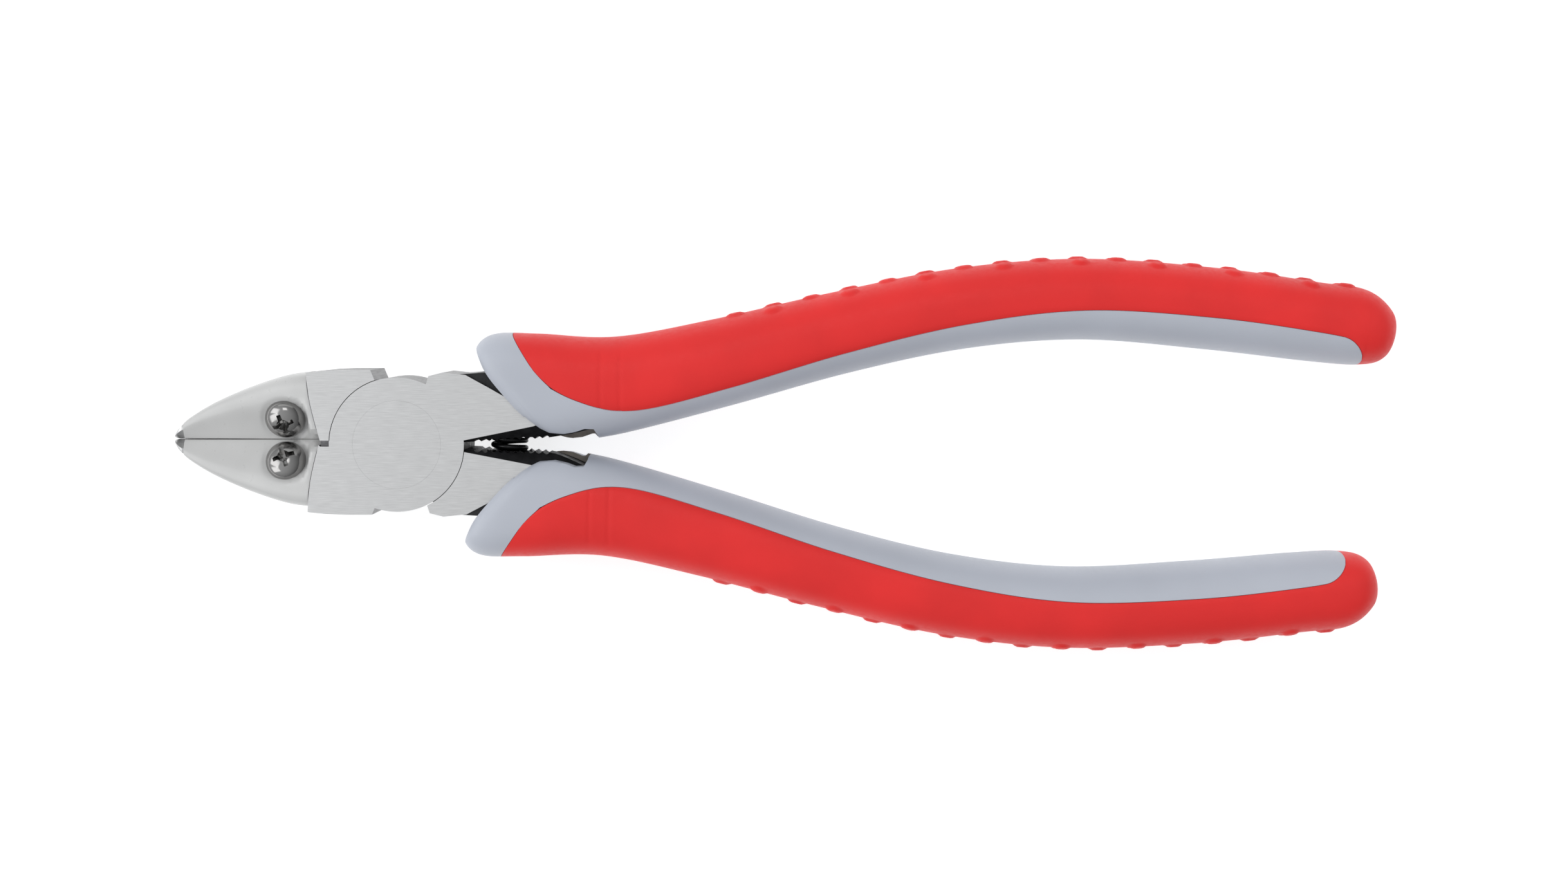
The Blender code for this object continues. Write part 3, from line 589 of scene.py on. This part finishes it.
def make_lever(lever):
    """Half-disc, jaw, root and arm in one piece, with its pocket, rivet hole, socket and teeth."""
    body = cylinder(f"{lever.name}_steel", DISC_RADIUS, lever.point(0, 0, SEAM / 2), lever.point(0, 0, MID))
    body = combine(body, "UNION", prism("jaw", lever, jaw_body_outline(lever), -MID, MID))
    body = combine(body, "UNION", prism("root", lever, root_outline(lever), -MID, MID))
    body = combine(body, "UNION", make_arm("arm", lever))
    first, last = TIP_X, CORE_END_X
    xs = [first + (last - first) * (i / 40) ** 1.6 for i in range(41)]
    body = combine(body, "UNION", loft("core", [jaw_core_ring(lever, x) for x in xs]))
    pocket = cylinder("pocket", DISC_RADIUS + SEAM, lever.point(0, 0, -8), lever.point(0, 0, SEAM / 2))
    body = combine(body, "DIFFERENCE", pocket)
    socket = cylinder("socket", SOCKET_RADIUS, lever.point(SPRING_X, -1.0),
                      lever.point(SPRING_X, SOCKET_FLOOR_V), 48)
    body = combine(body, "DIFFERENCE", socket)
    body = combine(body, "DIFFERENCE", prism("teeth", lever, tooth_comb(lever), -7, 7))
    if lever.side > 0:
        x0, x1, depth = JAW_RELIEF
        line = lever.jaw_line_v
        outline = [(x0, line + 0.6), (x1 - 0.6, line + 0.6), (x1 - 0.6, line - 0.05), (x1, line - depth),
                   (x0, line - depth)]
        guard = cylinder("disc_guard", DISC_RADIUS + 0.05, lever.point(0, 0, -9), lever.point(0, 0, 9))
        nick = combine(prism("nick", lever, outline, MID - NICK_DEPTH, 7), "DIFFERENCE", guard)
        body = combine(body, "DIFFERENCE", nick)
    return body


def finish_of(face, lever):
    """Which of the lever's finishes a face has: 0 ground, 1 milled, 2 blackened, 3 jaw edge."""
    x, y, z = face.center / MM
    if abs(face.normal.z) > 0.98 and (z > HEAD_THICKNESS - 0.03 or z < 0.03):
        return 0
    if x < -12.0:
        return 3 if face.normal.y * lever.side < -0.35 else 0
    outer = abs(y) > 7.0 and x < 10.2 and abs(face.normal.z) < 0.3
    return 1 if x < 3.7 or outer else 2


def finish_lever(made, lever, finishes):
    """Breaks the edges, bores the rivet's hole and gives each face its finish."""
    soften(made, 0.05, 2, 35)
    made = combine(made, "DIFFERENCE", turned_solid("rivet_hole", rivet_profile(HAIRLINE, 1.0)))
    made.data.materials.clear()
    for finish in finishes:
        made.data.materials.append(finish)
    for face in made.data.polygons:
        face.material_index = finish_of(face, lever)
    shade(made, 30)
    made.modifiers.new("flat_faces_stay_flat", "WEIGHTED_NORMAL").keep_sharp = True
    return made


# --- grips ------------------------------------------------------------------------------

def grip_rungs(lever):
    return [(*lever.turned(*row[0:2]), *lever.turned(*row[2:4]), *row[4:]) for row in GRIP_RUNGS]


def soft_edge_angle(rungs, k):
    """Half the angle round the section that the soft cover spans at rung k."""
    square, share = catmull(rungs, max(k, NOSE_RUNG))[5:7]
    near = min(max((k - NOSE_RUNG) / NOSE_ROUND, 0.0), 1.0)
    share += NOSE_SHARE * (1 - math.sqrt(1 - (1 - near) ** 2))
    across = 2 * share - 1
    angle = math.acos(math.copysign(abs(across) ** (square / 2), across))
    far = min(max((k - TAIL_RUNG) / TAIL_ROUND + 1, 0.0), 1.0)
    return angle + (TAIL_ANGLE - angle) * (1 - math.sqrt(1 - far ** 2))


class GripSection:
    """The grip's section at rung k, inset millimetres below the surface."""

    def __init__(self, rungs, k, inset=0.0):
        start, share = INSET_TAIL
        if inset > 0 and k > start:
            k = start + (k - start) * share
        self.bow = GUARD_BULGE * max(0.0, 1 - k)
        self.inset = inset
        self.outer, self.inner, self.aspect, self.square = self.read(rungs, k)
        ahead, behind = catmull(rungs, k + 0.01), catmull(rungs, k - 0.01)
        outer_way = Vector((ahead[0] - behind[0], ahead[1] - behind[1])).normalized()
        inner_way = Vector((ahead[2] - behind[2], ahead[3] - behind[3])).normalized()
        self.outer_normal = Vector((-outer_way.y, outer_way.x))
        self.inner_normal = Vector((inner_way.y, -inner_way.x))

    def read(self, rungs, k):
        ox, ov, ix, iv, aspect, square, _ = catmull(rungs, k)
        return Vector((ox, ov)), Vector((ix, iv)), aspect, square

    def point(self, angle, raised=0.0):
        """A point at this angle, 0 being the outer crest, raised millimetres further out."""
        inset = self.inset - raised
        outer = self.outer - inset * self.outer_normal
        inner = self.inner - inset * self.inner_normal
        full = max((self.outer - self.inner).length / 2, 5.0)
        aspect = (self.aspect * full - inset) / (full - inset)
        across = (outer - inner) / 2
        c, s = math.cos(angle), math.sin(angle)
        plan = (outer + inner) / 2 + across * math.copysign(abs(c) ** (2 / self.square), c)
        plan -= Vector((1, 0.8)) * self.bow * s * s
        up = across.length * aspect * math.copysign(abs(s) ** (2 / self.square), s)
        return plan, up


def even_angles(section, start, end, count):
    """Angles from start to end whose points are evenly spread over the section's outline."""
    fine = [start + (end - start) * i / 240 for i in range(241)]
    spots = []
    for angle in fine:
        plan, up = section.point(angle)
        spots.append(Vector((plan.x, plan.y, up)))
    run = [0.0]
    for here, there in zip(spots, spots[1:]):
        run.append(run[-1] + (there - here).length)
    angles = []
    j = 0
    for i in range(count + 1):
        goal = run[-1] * i / count
        while j < 239 and run[j + 1] < goal:
            j += 1
        span = max(run[j + 1] - run[j], 1e-9)
        angles.append(fine[j] + (fine[j + 1] - fine[j]) * (goal - run[j]) / span)
    return angles


def dot_height(x, up):
    """Height of the raised dots at plan x and height up over the grip's outer side."""
    start, end = DOT_SPAN
    column = round((x - start) / DOT_PITCH)
    if column < 0 or start + column * DOT_PITCH > end:
        return 0.0
    rows = (-DOT_ACROSS, 0.0, DOT_ACROSS) if column % 2 else (-DOT_ACROSS / 2, DOT_ACROSS / 2)
    half_length, half_width, height = DOT_SIZE
    along = (x - start - column * DOT_PITCH) / half_length
    best = 0.0
    for row in rows:
        square = along ** 2 + ((up - row) / half_width) ** 2
        if square < 1:
            best = max(best, height * min(1.0, 1.25 * (1 - square) ** 0.6))
    return best


def crease_depth(x, v, up):
    """Depth of the two faint mould creases across the grip's cheeks."""
    if abs(up) < 4.5:
        return 0.0
    depth = 0.0
    for line in CREASES:
        depth += 0.1 * max(0.0, 1 - abs(x - line) / 0.25)
    return depth * smooth(3.0, 5.0, v) * (1 - smooth(11.5, 13.5, v))


def grip_rows():
    """Rung parameters of the grip's rows, close together where the soft cover's edge turns."""
    rows = [i * 0.04 for i in range(61)]
    rows += [NOSE_RUNG + 0.012 * i for i in range(18)]
    k = rows[-1]
    while k < TAIL_RUNG - TAIL_ROUND:
        k += 0.34 / rung_length(k)
        rows.append(k)
    while k < END_RUNG:
        k += 0.27 / rung_length(k)
        rows.append(k)
    rows = [r for r in rows if abs(r - TAIL_RUNG) > 0.01 and r < END_RUNG] + [TAIL_RUNG, END_RUNG]
    return sorted(set(rows))


def rung_length(k):
    """Millimetres that the grip's outer edge runs for one rung at rung k."""
    ahead, behind = catmull(GRIP_RUNGS, k + 0.05), catmull(GRIP_RUNGS, k - 0.05)
    return max(math.hypot(ahead[0] - behind[0], ahead[1] - behind[1]) * 10, 1.5)


def is_soft(k, j, soft_columns):
    return k >= NOSE_RUNG and (j < soft_columns or k >= TAIL_RUNG)


def lip_inset(k):
    """How far the guard's front edge is rounded down at rung k."""
    near = max(0.0, 1 - k / LIP_RUNGS)
    return LIP_RADIUS * (1 - math.sqrt(1 - near ** 2))


def grip_grid(bm, lever, ks, inset, columns, gap, detail):
    """Vertices of one inset surface: the first columns over the outer side, then the rest."""
    rungs = grip_rungs(lever)
    grid = []
    for k in ks:
        edge = soft_edge_angle(rungs, k) + gap / 6
        section = GripSection(rungs, k, inset + lip_inset(k))
        angles = even_angles(section, -edge, edge, columns[0])
        angles += even_angles(section, edge, 2 * math.pi - edge, columns[1])[1:-1]
        row = []
        for j, angle in enumerate(angles):
            plan, up = section.point(angle)
            if detail:
                raised = soft_relief(*lever.unturned(*plan), up, angle, j, k, columns[0])
                if raised:
                    plan, up = section.point(angle, raised)
            row.append(bm.verts.new(lever.point(plan.x, plan.y, up)))
        grid.append(row)
    return grid


def soft_relief(x, v, up, angle, j, k, soft_columns):
    """Relief of the soft cover: dots, creases, and a rounded edge beside the grey moulding."""
    raised = -crease_depth(x, v, up)
    if math.cos(angle) > 0:
        raised += dot_height(x, up)
    from_edge = min(j, soft_columns - j) if k < TAIL_RUNG else 9
    return raised - (0.1, 0.03, 0.0)[min(max(from_edge, 0), 2)]


def make_soft_cover(lever, ks, columns):
    """The red moulding: wraps the grip's outer side and its whole tail."""
    bm = bmesh.new()
    ks = [k for k in ks if k > NOSE_RUNG]
    top = grip_grid(bm, lever, ks, 0.0, columns, 0.0, True)
    under = grip_grid(bm, lever, ks, SOFT_WALL, columns, 0.0, False)
    count = len(top[0])
    for i, k in enumerate(ks[:-1]):
        for j in range(count):
            m = (j + 1) % count
            if not is_soft(k, j, columns[0]):
                continue
            for grid in (top, under):
                bm.faces.new((grid[i][j], grid[i][m], grid[i + 1][m], grid[i + 1][j]))
            if i == 0 or not is_soft(ks[i - 1], j, columns[0]):
                bm.faces.new((top[i][j], top[i][m], under[i][m], under[i][j]))
            for side, neighbour in ((j, j - 1), (m, m)):
                if not is_soft(k, neighbour % count, columns[0]):
                    bm.faces.new((top[i][side], top[i + 1][side], under[i + 1][side], under[i][side]))
    bm.faces.new(top[-1])
    bm.faces.new(under[-1])
    drop_loose(bm)
    made = mesh_object(f"{lever.name}_red_grip", bm)
    shade(made, 50)
    return made


def make_sleeve(lever, ks, columns):
    """The grey moulding: guard, inner band and the core under the soft cover."""
    bm = bmesh.new()
    ks = ks[:-1]
    top = grip_grid(bm, lever, ks, 0.0, columns, SOFT_SEAM, False)
    under = grip_grid(bm, lever, ks, SOFT_WALL + SOFT_SEAM, columns, SOFT_SEAM, False)
    count = len(top[0])
    for i, k in enumerate(ks[:-1]):
        for j in range(count):
            m = (j + 1) % count
            soft = is_soft(k, j, columns[0])
            grid = under if soft else top
            bm.faces.new((grid[i][j], grid[i][m], grid[i + 1][m], grid[i + 1][j]))
            if i and soft != is_soft(ks[i - 1], j, columns[0]):
                bm.faces.new((top[i][j], top[i][m], under[i][m], under[i][j]))
            if soft != is_soft(k, (j - 1) % count, columns[0]):
                bm.faces.new((top[i][j], top[i + 1][j], under[i + 1][j], under[i][j]))
    bm.faces.new(top[0])
    bm.faces.new(under[-1])
    drop_loose(bm)
    sleeve = mesh_object(f"{lever.name}_grey_grip", bm)
    sleeve = combine(sleeve, "DIFFERENCE", make_arm("arm_space", lever, 0.05))
    root_space = prism("root_space", lever, grown(root_outline(lever), 0.05), -MID - 0.05, MID + 0.05)
    sleeve = combine(sleeve, "DIFFERENCE", root_space)
    trim = [lever.turned(x, v) for x, v in FRONT_CHEEK_TRIM]
    low, high = (-2.0, 9.0) if lever.side > 0 else (-9.0, 2.0)
    cheek_trim = prism("cheek_trim", lever, trim[::-1], low, high)
    sleeve = combine(sleeve, "DIFFERENCE", cheek_trim, use_self=True)
    notch = [lever.turned(x, v) for x, v in CHEEK_NOTCH]
    cheek_notch = prism("cheek_notch", lever, notch[::-1], -9.0, 9.0)
    sleeve = combine(sleeve, "DIFFERENCE", cheek_notch, use_self=True)
    shade(sleeve, 40)
    return sleeve


def paint_sleeve_and_pocket_shade(sleeve, grey, inside):
    """Gives the sleeve its grey, and paints shade on the cheek faces inside the pocket round the arm: a
    darker brown-grey in place of their shadow.
    """
    sleeve.data.materials.clear()
    sleeve.data.materials.append(grey)
    sleeve.data.materials.append(inside)
    start, end = PAINTED_SHADE_SPAN
    for face in sleeve.data.polygons:
        x, _, z = face.center / MM
        # painted shade: upward faces in the pocket get the dark colour where shadow falls between its walls
        if face.normal.z > 0.7 and start < x < end and abs(z - MID) < 3.6:
            face.material_index = 1


def drop_loose(bm):
    bmesh.ops.delete(bm, geom=[v for v in bm.verts if not v.link_faces], context="VERTS")


def make_spring():
    curve = bpy.data.curves.new("spring_wire", "CURVE")
    curve.dimensions = "3D"
    curve.bevel_depth = SPRING_WIRE_RADIUS * MM
    curve.bevel_resolution = 3
    curve.use_fill_caps = True
    per_turn = 36
    steps = SPRING_TURNS * per_turn
    spline = curve.splines.new("POLY")
    spline.points.add(steps)
    start, end = SPRING_END_Y
    for i in range(steps + 1):
        turn = 2 * math.pi * i / per_turn
        spline.points[i].co = (
            (SPRING_X + SPRING_COIL_RADIUS * math.cos(turn)) * MM,
            (start + (end - start) * i / steps) * MM,
            (MID + SPRING_COIL_RADIUS * math.sin(turn)) * MM, 1)
    drawn = bpy.data.objects.new("spring_wire", curve)
    bpy.context.scene.collection.objects.link(drawn)
    spring = flattened(drawn)
    shade(spring, 60)
    return spring


# --- materials ----------------------------------------------------------------------------

class Shader:
    """A Principled material whose nodes are added one line at a time."""

    def __init__(self, name, colour, roughness, metallic=0.0, **constants):
        self.material = bpy.data.materials.new(name)
        self.material.use_nodes = True
        self.nodes = self.material.node_tree.nodes
        self.links = self.material.node_tree.links
        self.principled = self.nodes["Principled BSDF"]
        self.principled.inputs["Base Color"].default_value = (*colour, 1)
        self.principled.inputs["Roughness"].default_value = roughness
        self.principled.inputs["Metallic"].default_value = metallic
        for socket, value in constants.items():
            self.principled.inputs[socket.replace("_", " ")].default_value = value
        self.colour = colour
        self.place = self.nodes.new("ShaderNodeTexCoord").outputs["Object"]

    def noise(self, scale, detail=3.0, stretch=(1, 1, 1)):
        """Noise of about scale grains per millimetre, stretched along an axis by a small factor there."""
        mapping = self.nodes.new("ShaderNodeMapping")
        mapping.inputs["Scale"].default_value = [s * scale / MM for s in stretch]
        self.links.new(self.place, mapping.inputs["Vector"])
        noise = self.nodes.new("ShaderNodeTexNoise")
        noise.inputs["Scale"].default_value = 1.0
        noise.inputs["Detail"].default_value = detail
        self.links.new(mapping.outputs["Vector"], noise.inputs["Vector"])
        return noise.outputs["Fac"]

    def between(self, source, low, high):
        """The source's middle range mapped onto low to high."""
        remap = self.nodes.new("ShaderNodeMapRange")
        remap.inputs["From Min"].default_value = 0.3
        remap.inputs["From Max"].default_value = 0.7
        remap.inputs["To Min"].default_value = low
        remap.inputs["To Max"].default_value = high
        self.links.new(source, remap.inputs["Value"])
        return remap.outputs["Result"]

    def vary_roughness(self, source, low, high):
        self.links.new(self.between(source, low, high), self.principled.inputs["Roughness"])

    def vary_colour(self, source, dark, light):
        """The base colour mixed from dark to light shares of itself."""
        mix = self.nodes.new("ShaderNodeMix")
        mix.data_type = "RGBA"
        mix.inputs["A"].default_value = (*(min(c * dark, 1) for c in self.colour), 1)
        mix.inputs["B"].default_value = (*(min(c * light, 1) for c in self.colour), 1)
        self.links.new(self.between(source, 0.0, 1.0), mix.inputs["Factor"])
        self.links.new(mix.outputs["Result"], self.principled.inputs["Base Color"])

    def bump(self, source, depth):
        """Bump of about depth millimetres."""
        bump = self.nodes.new("ShaderNodeBump")
        bump.inputs["Strength"].default_value = 1.0
        bump.inputs["Distance"].default_value = depth * MM
        self.links.new(source, bump.inputs["Height"])
        last = self.principled.inputs["Normal"]
        if last.is_linked:
            self.links.new(last.links[0].from_socket, bump.inputs["Normal"])
        self.links.new(bump.outputs["Normal"], last)


def ground_steel():
    made = Shader("ground_steel", (0.63, 0.63, 0.63), 0.38, 1.0)
    streaks = made.noise(13.0, 5.0, (0.06, 1, 0.3))
    made.vary_colour(made.noise(9.0, 6.0, (0.05, 1, 0.3)), 0.90, 1.08)
    made.vary_roughness(streaks, 0.34, 0.46)
    made.bump(streaks, 0.0018)
    return made.material


def milled_steel():
    made = Shader("milled_steel", (0.20, 0.20, 0.205), 0.36, 1.0)
    lines = made.noise(4.0, 4.0, (0.6, 1, 0.1))
    made.vary_colour(lines, 0.7, 1.15)
    made.bump(lines, 0.008)
    return made.material


def blackened_steel():
    made = Shader("blackened_steel", (0.013, 0.013, 0.014), 0.5, 0.4)
    made.vary_roughness(made.noise(1.2, 4.0), 0.38, 0.62)
    made.vary_colour(made.noise(0.7, 5.0), 0.7, 1.8)
    made.bump(made.noise(5.0, 4.0), 0.02)
    return made.material


def jaw_edge_steel():
    made = Shader("jaw_edge_steel", (0.22, 0.22, 0.225), 0.28, 1.0)
    made.vary_colour(made.noise(2.0, 4.0), 0.6, 1.3)
    made.bump(made.noise(6.0, 3.0), 0.006)
    return made.material


def jaw_cover_plastic():
    made = Shader("jaw_cover_plastic", (0.555, 0.555, 0.55), 0.32, 0.0, Coat_Weight=0.1, Coat_Roughness=0.2)
    made.vary_colour(made.noise(0.16, 2.0), 0.95, 1.03)
    made.vary_roughness(made.noise(1.5, 3.0), 0.27, 0.36)
    made.bump(made.noise(7.0, 3.0), 0.0025)
    return made.material


def screw_chrome():
    made = Shader("screw_chrome", (0.31, 0.305, 0.30), 0.12, 1.0)
    made.vary_roughness(made.noise(2.5, 4.0), 0.09, 0.22)
    made.bump(made.noise(9.0, 3.0), 0.0015)
    return made.material


def grey_plastic():
    made = Shader("grey_plastic", (0.46, 0.485, 0.545), 0.42)
    made.vary_colour(made.noise(0.08, 2.0), 0.96, 1.03)
    made.vary_roughness(made.noise(2.0, 3.0), 0.38, 0.5)
    made.bump(made.noise(6.0, 4.0), 0.006)
    return made.material


def painted_pocket_shade():
    """Painted shade: a dark brown-grey that stands in for the shadow on the grey plastic's faces inside the
    pocket round the arm.
    """
    made = Shader("painted_pocket_shade", (0.24, 0.215, 0.19), 0.6)
    made.vary_colour(made.noise(0.6, 4.0), 0.7, 1.3)
    made.bump(made.noise(4.0, 3.0), 0.01)
    return made.material


def red_elastomer():
    made = Shader("red_elastomer", (0.76, 0.028, 0.027), 0.5, 0.0, Specular_IOR_Level=0.25)
    made.vary_colour(made.noise(0.1, 3.0), 0.93, 1.05)
    made.vary_roughness(made.noise(1.6, 4.0), 0.4, 0.54)
    made.bump(made.noise(5.0, 4.0), 0.008)
    return made.material


def spring_steel():
    made = Shader("spring_steel", (0.012, 0.012, 0.013), 0.3, 0.7)
    made.vary_roughness(made.noise(2.5, 3.0), 0.22, 0.42)
    made.bump(made.noise(8.0, 3.0, (1, 0.3, 1)), 0.004)
    return made.material


def floor_material():
    made = Shader("studio_floor", (0.5, 0.5, 0.5), 0.9)
    made.vary_colour(made.noise(0.02, 3.0), 0.985, 1.01)
    made.principled.inputs["Emission Color"].default_value = (1, 1, 1, 1)
    made.principled.inputs["Emission Strength"].default_value = FLOOR_GLOW
    return made.material


# --- studio --------------------------------------------------------------------------------

def make_floor(height):
    """A plain flat sheet that the tool lies on."""
    bm = bmesh.new()
    bmesh.ops.create_grid(bm, x_segments=8, y_segments=8, size=2.5)
    mesh = bpy.data.meshes.new("studio_floor")
    bm.to_mesh(mesh)
    bm.free()
    floor = bpy.data.objects.new("studio_floor", mesh)
    floor.location = (0.05, 0, height)
    bpy.context.scene.collection.objects.link(floor)
    mesh.materials.append(floor_material())


def area_light(name, spot, target, size, power, mirrored=True):
    data = bpy.data.lights.new(name, "AREA")
    data.shape = "RECTANGLE"
    data.size, data.size_y = size
    data.energy = power
    light = bpy.data.objects.new(name, data)
    light.location = spot
    light.rotation_euler = (Vector(target) - Vector(spot)).to_track_quat("-Z", "Y").to_euler()
    light.visible_glossy = mirrored
    bpy.context.scene.collection.objects.link(light)


def make_lights():
    middle = (0.05, 0, 0)
    for name, y in (("window_low", -0.26), ("window_high", 0.22)):
        area_light(name, (-0.64, y, 0.56), middle, (0.42, 0.66), 1.5)
    area_light("fill_top_left", (0.0, 0.45, 0.85), middle, (0.3, 0.3), 0.6)
    area_light("fill_right", (0.60, 0.2, 0.45), middle, (0.6, 0.6), 1.25, mirrored=False)
    area_light("back_top", (0.05, 0.8, 0.35), middle, (1.2, 0.3), 0.5)
    world = bpy.data.worlds.new("studio")
    world.use_nodes = True
    nodes, links = world.node_tree.nodes, world.node_tree.links
    way = nodes.new("ShaderNodeTexCoord").outputs["Generated"]
    split = nodes.new("ShaderNodeSeparateXYZ")
    links.new(way, split.inputs["Vector"])
    total = None
    for axis, share in (("Z", 0.62), ("Y", 0.02), ("X", -0.46)):
        part = nodes.new("ShaderNodeMath")
        part.operation = "MULTIPLY_ADD"
        part.inputs[1].default_value = share
        part.inputs[2].default_value = 0.42
        links.new(split.outputs[axis], part.inputs[0])
        if total:
            links.new(total, part.inputs[2])
        total = part.outputs["Value"]
    colour = nodes.new("ShaderNodeCombineColor")
    for channel, tint in (("Red", 0.97), ("Green", 0.985), ("Blue", 1.0)):
        tinted = nodes.new("ShaderNodeMath")
        tinted.operation = "MULTIPLY"
        tinted.inputs[1].default_value = tint
        links.new(total, tinted.inputs[0])
        links.new(tinted.outputs["Value"], colour.inputs[channel])
    links.new(colour.outputs["Color"], nodes["Background"].inputs["Color"])
    nodes["Background"].inputs["Strength"].default_value = 0.70
    bpy.context.scene.world = world


def make_camera():
    data = bpy.data.cameras.new("camera")
    data.sensor_width = 36.0
    data.lens = 48.2
    data.clip_start = 0.01
    camera = bpy.data.objects.new("camera", data)
    spot, target = Vector((52.0, 17.9, 290.0)) * MM, Vector((51.8, 0.2, 5.0)) * MM
    way = (target - spot).normalized()
    side = way.cross(Vector((0, 1, 0))).normalized()
    rise = side.cross(way)
    camera.matrix_world = Matrix.Translation(spot) @ Matrix((side, rise, -way)).transposed().to_4x4()
    bpy.context.scene.collection.objects.link(camera)
    bpy.context.scene.camera = camera


def show_true_colours():
    """Colours reach the picture as they are, without a filmic curve."""
    bpy.context.scene.view_settings.view_transform = "Standard"


def hand_over(made, lever_body, node):
    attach(made, lever_body)
    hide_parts(node)


def main():
    for old in list(bpy.data.objects):
        bpy.data.objects.remove(old)
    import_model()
    cad_box = [list(corner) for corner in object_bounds()]
    show_true_colours()
    make_camera()
    make_lights()
    make_floor(cad_box[0][2] - 0.0002)
    lever_finishes = [ground_steel(), milled_steel(), blackened_steel(), jaw_edge_steel()]
    white, chrome, grey, red = jaw_cover_plastic(), screw_chrome(), grey_plastic(), red_elastomer()
    # painted shade for the cheek faces in the pocket round the arm
    inside = painted_pocket_shade()
    ks = grip_rows()
    sleeve_ks = [k for i, k in enumerate(ks) if i % 3 == 0 or k < 3.1 or k > 10.2]
    front = Lever("front_lever", 1, FRONT_JAW_DEPTH, FRONT_ROOT_V, 0.0, 0.0)
    rear = Lever("rear_lever", -1, REAR_JAW_DEPTH, REAR_ROOT_V, LOWER_GRIP_TURN, LOWER_GRIP_SHIFT)
    for lever in (front, rear):
        steel = finish_lever(make_lever(lever), lever, lever_finishes)
        hand_over(steel, lever.body, lever.name)
        cover = make_cover(lever)
        cover.data.materials.append(white)
        shade(cover, 35)
        hand_over(cover, lever.body, f"{lever.name}_cover")
        screw = make_cover_screw(lever)
        screw.data.materials.append(chrome)
        shade(screw, 30)
        hand_over(screw, lever.body, f"{lever.name}_cover_screw")
        sleeve = make_sleeve(lever, sleeve_ks, (30, 36))
        paint_sleeve_and_pocket_shade(sleeve, grey, inside)
        hand_over(sleeve, lever.body, f"{lever.name}_grip_sleeve")
        soft = make_soft_cover(lever, ks, (76, 20))
        soft.data.materials.append(red)
        hand_over(soft, lever.body, f"{lever.name}_soft_grip")
    rivet = turned_solid("rivet_head", rivet_profile(0.0, 0.0))
    rivet.data.materials.append(lever_finishes[0])
    shade(rivet, 30)
    hand_over(rivet, front.body, "pivot_rivet")
    spring = make_spring()
    spring.data.materials.append(spring_steel())
    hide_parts("return_spring")
    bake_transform(spring)


main()
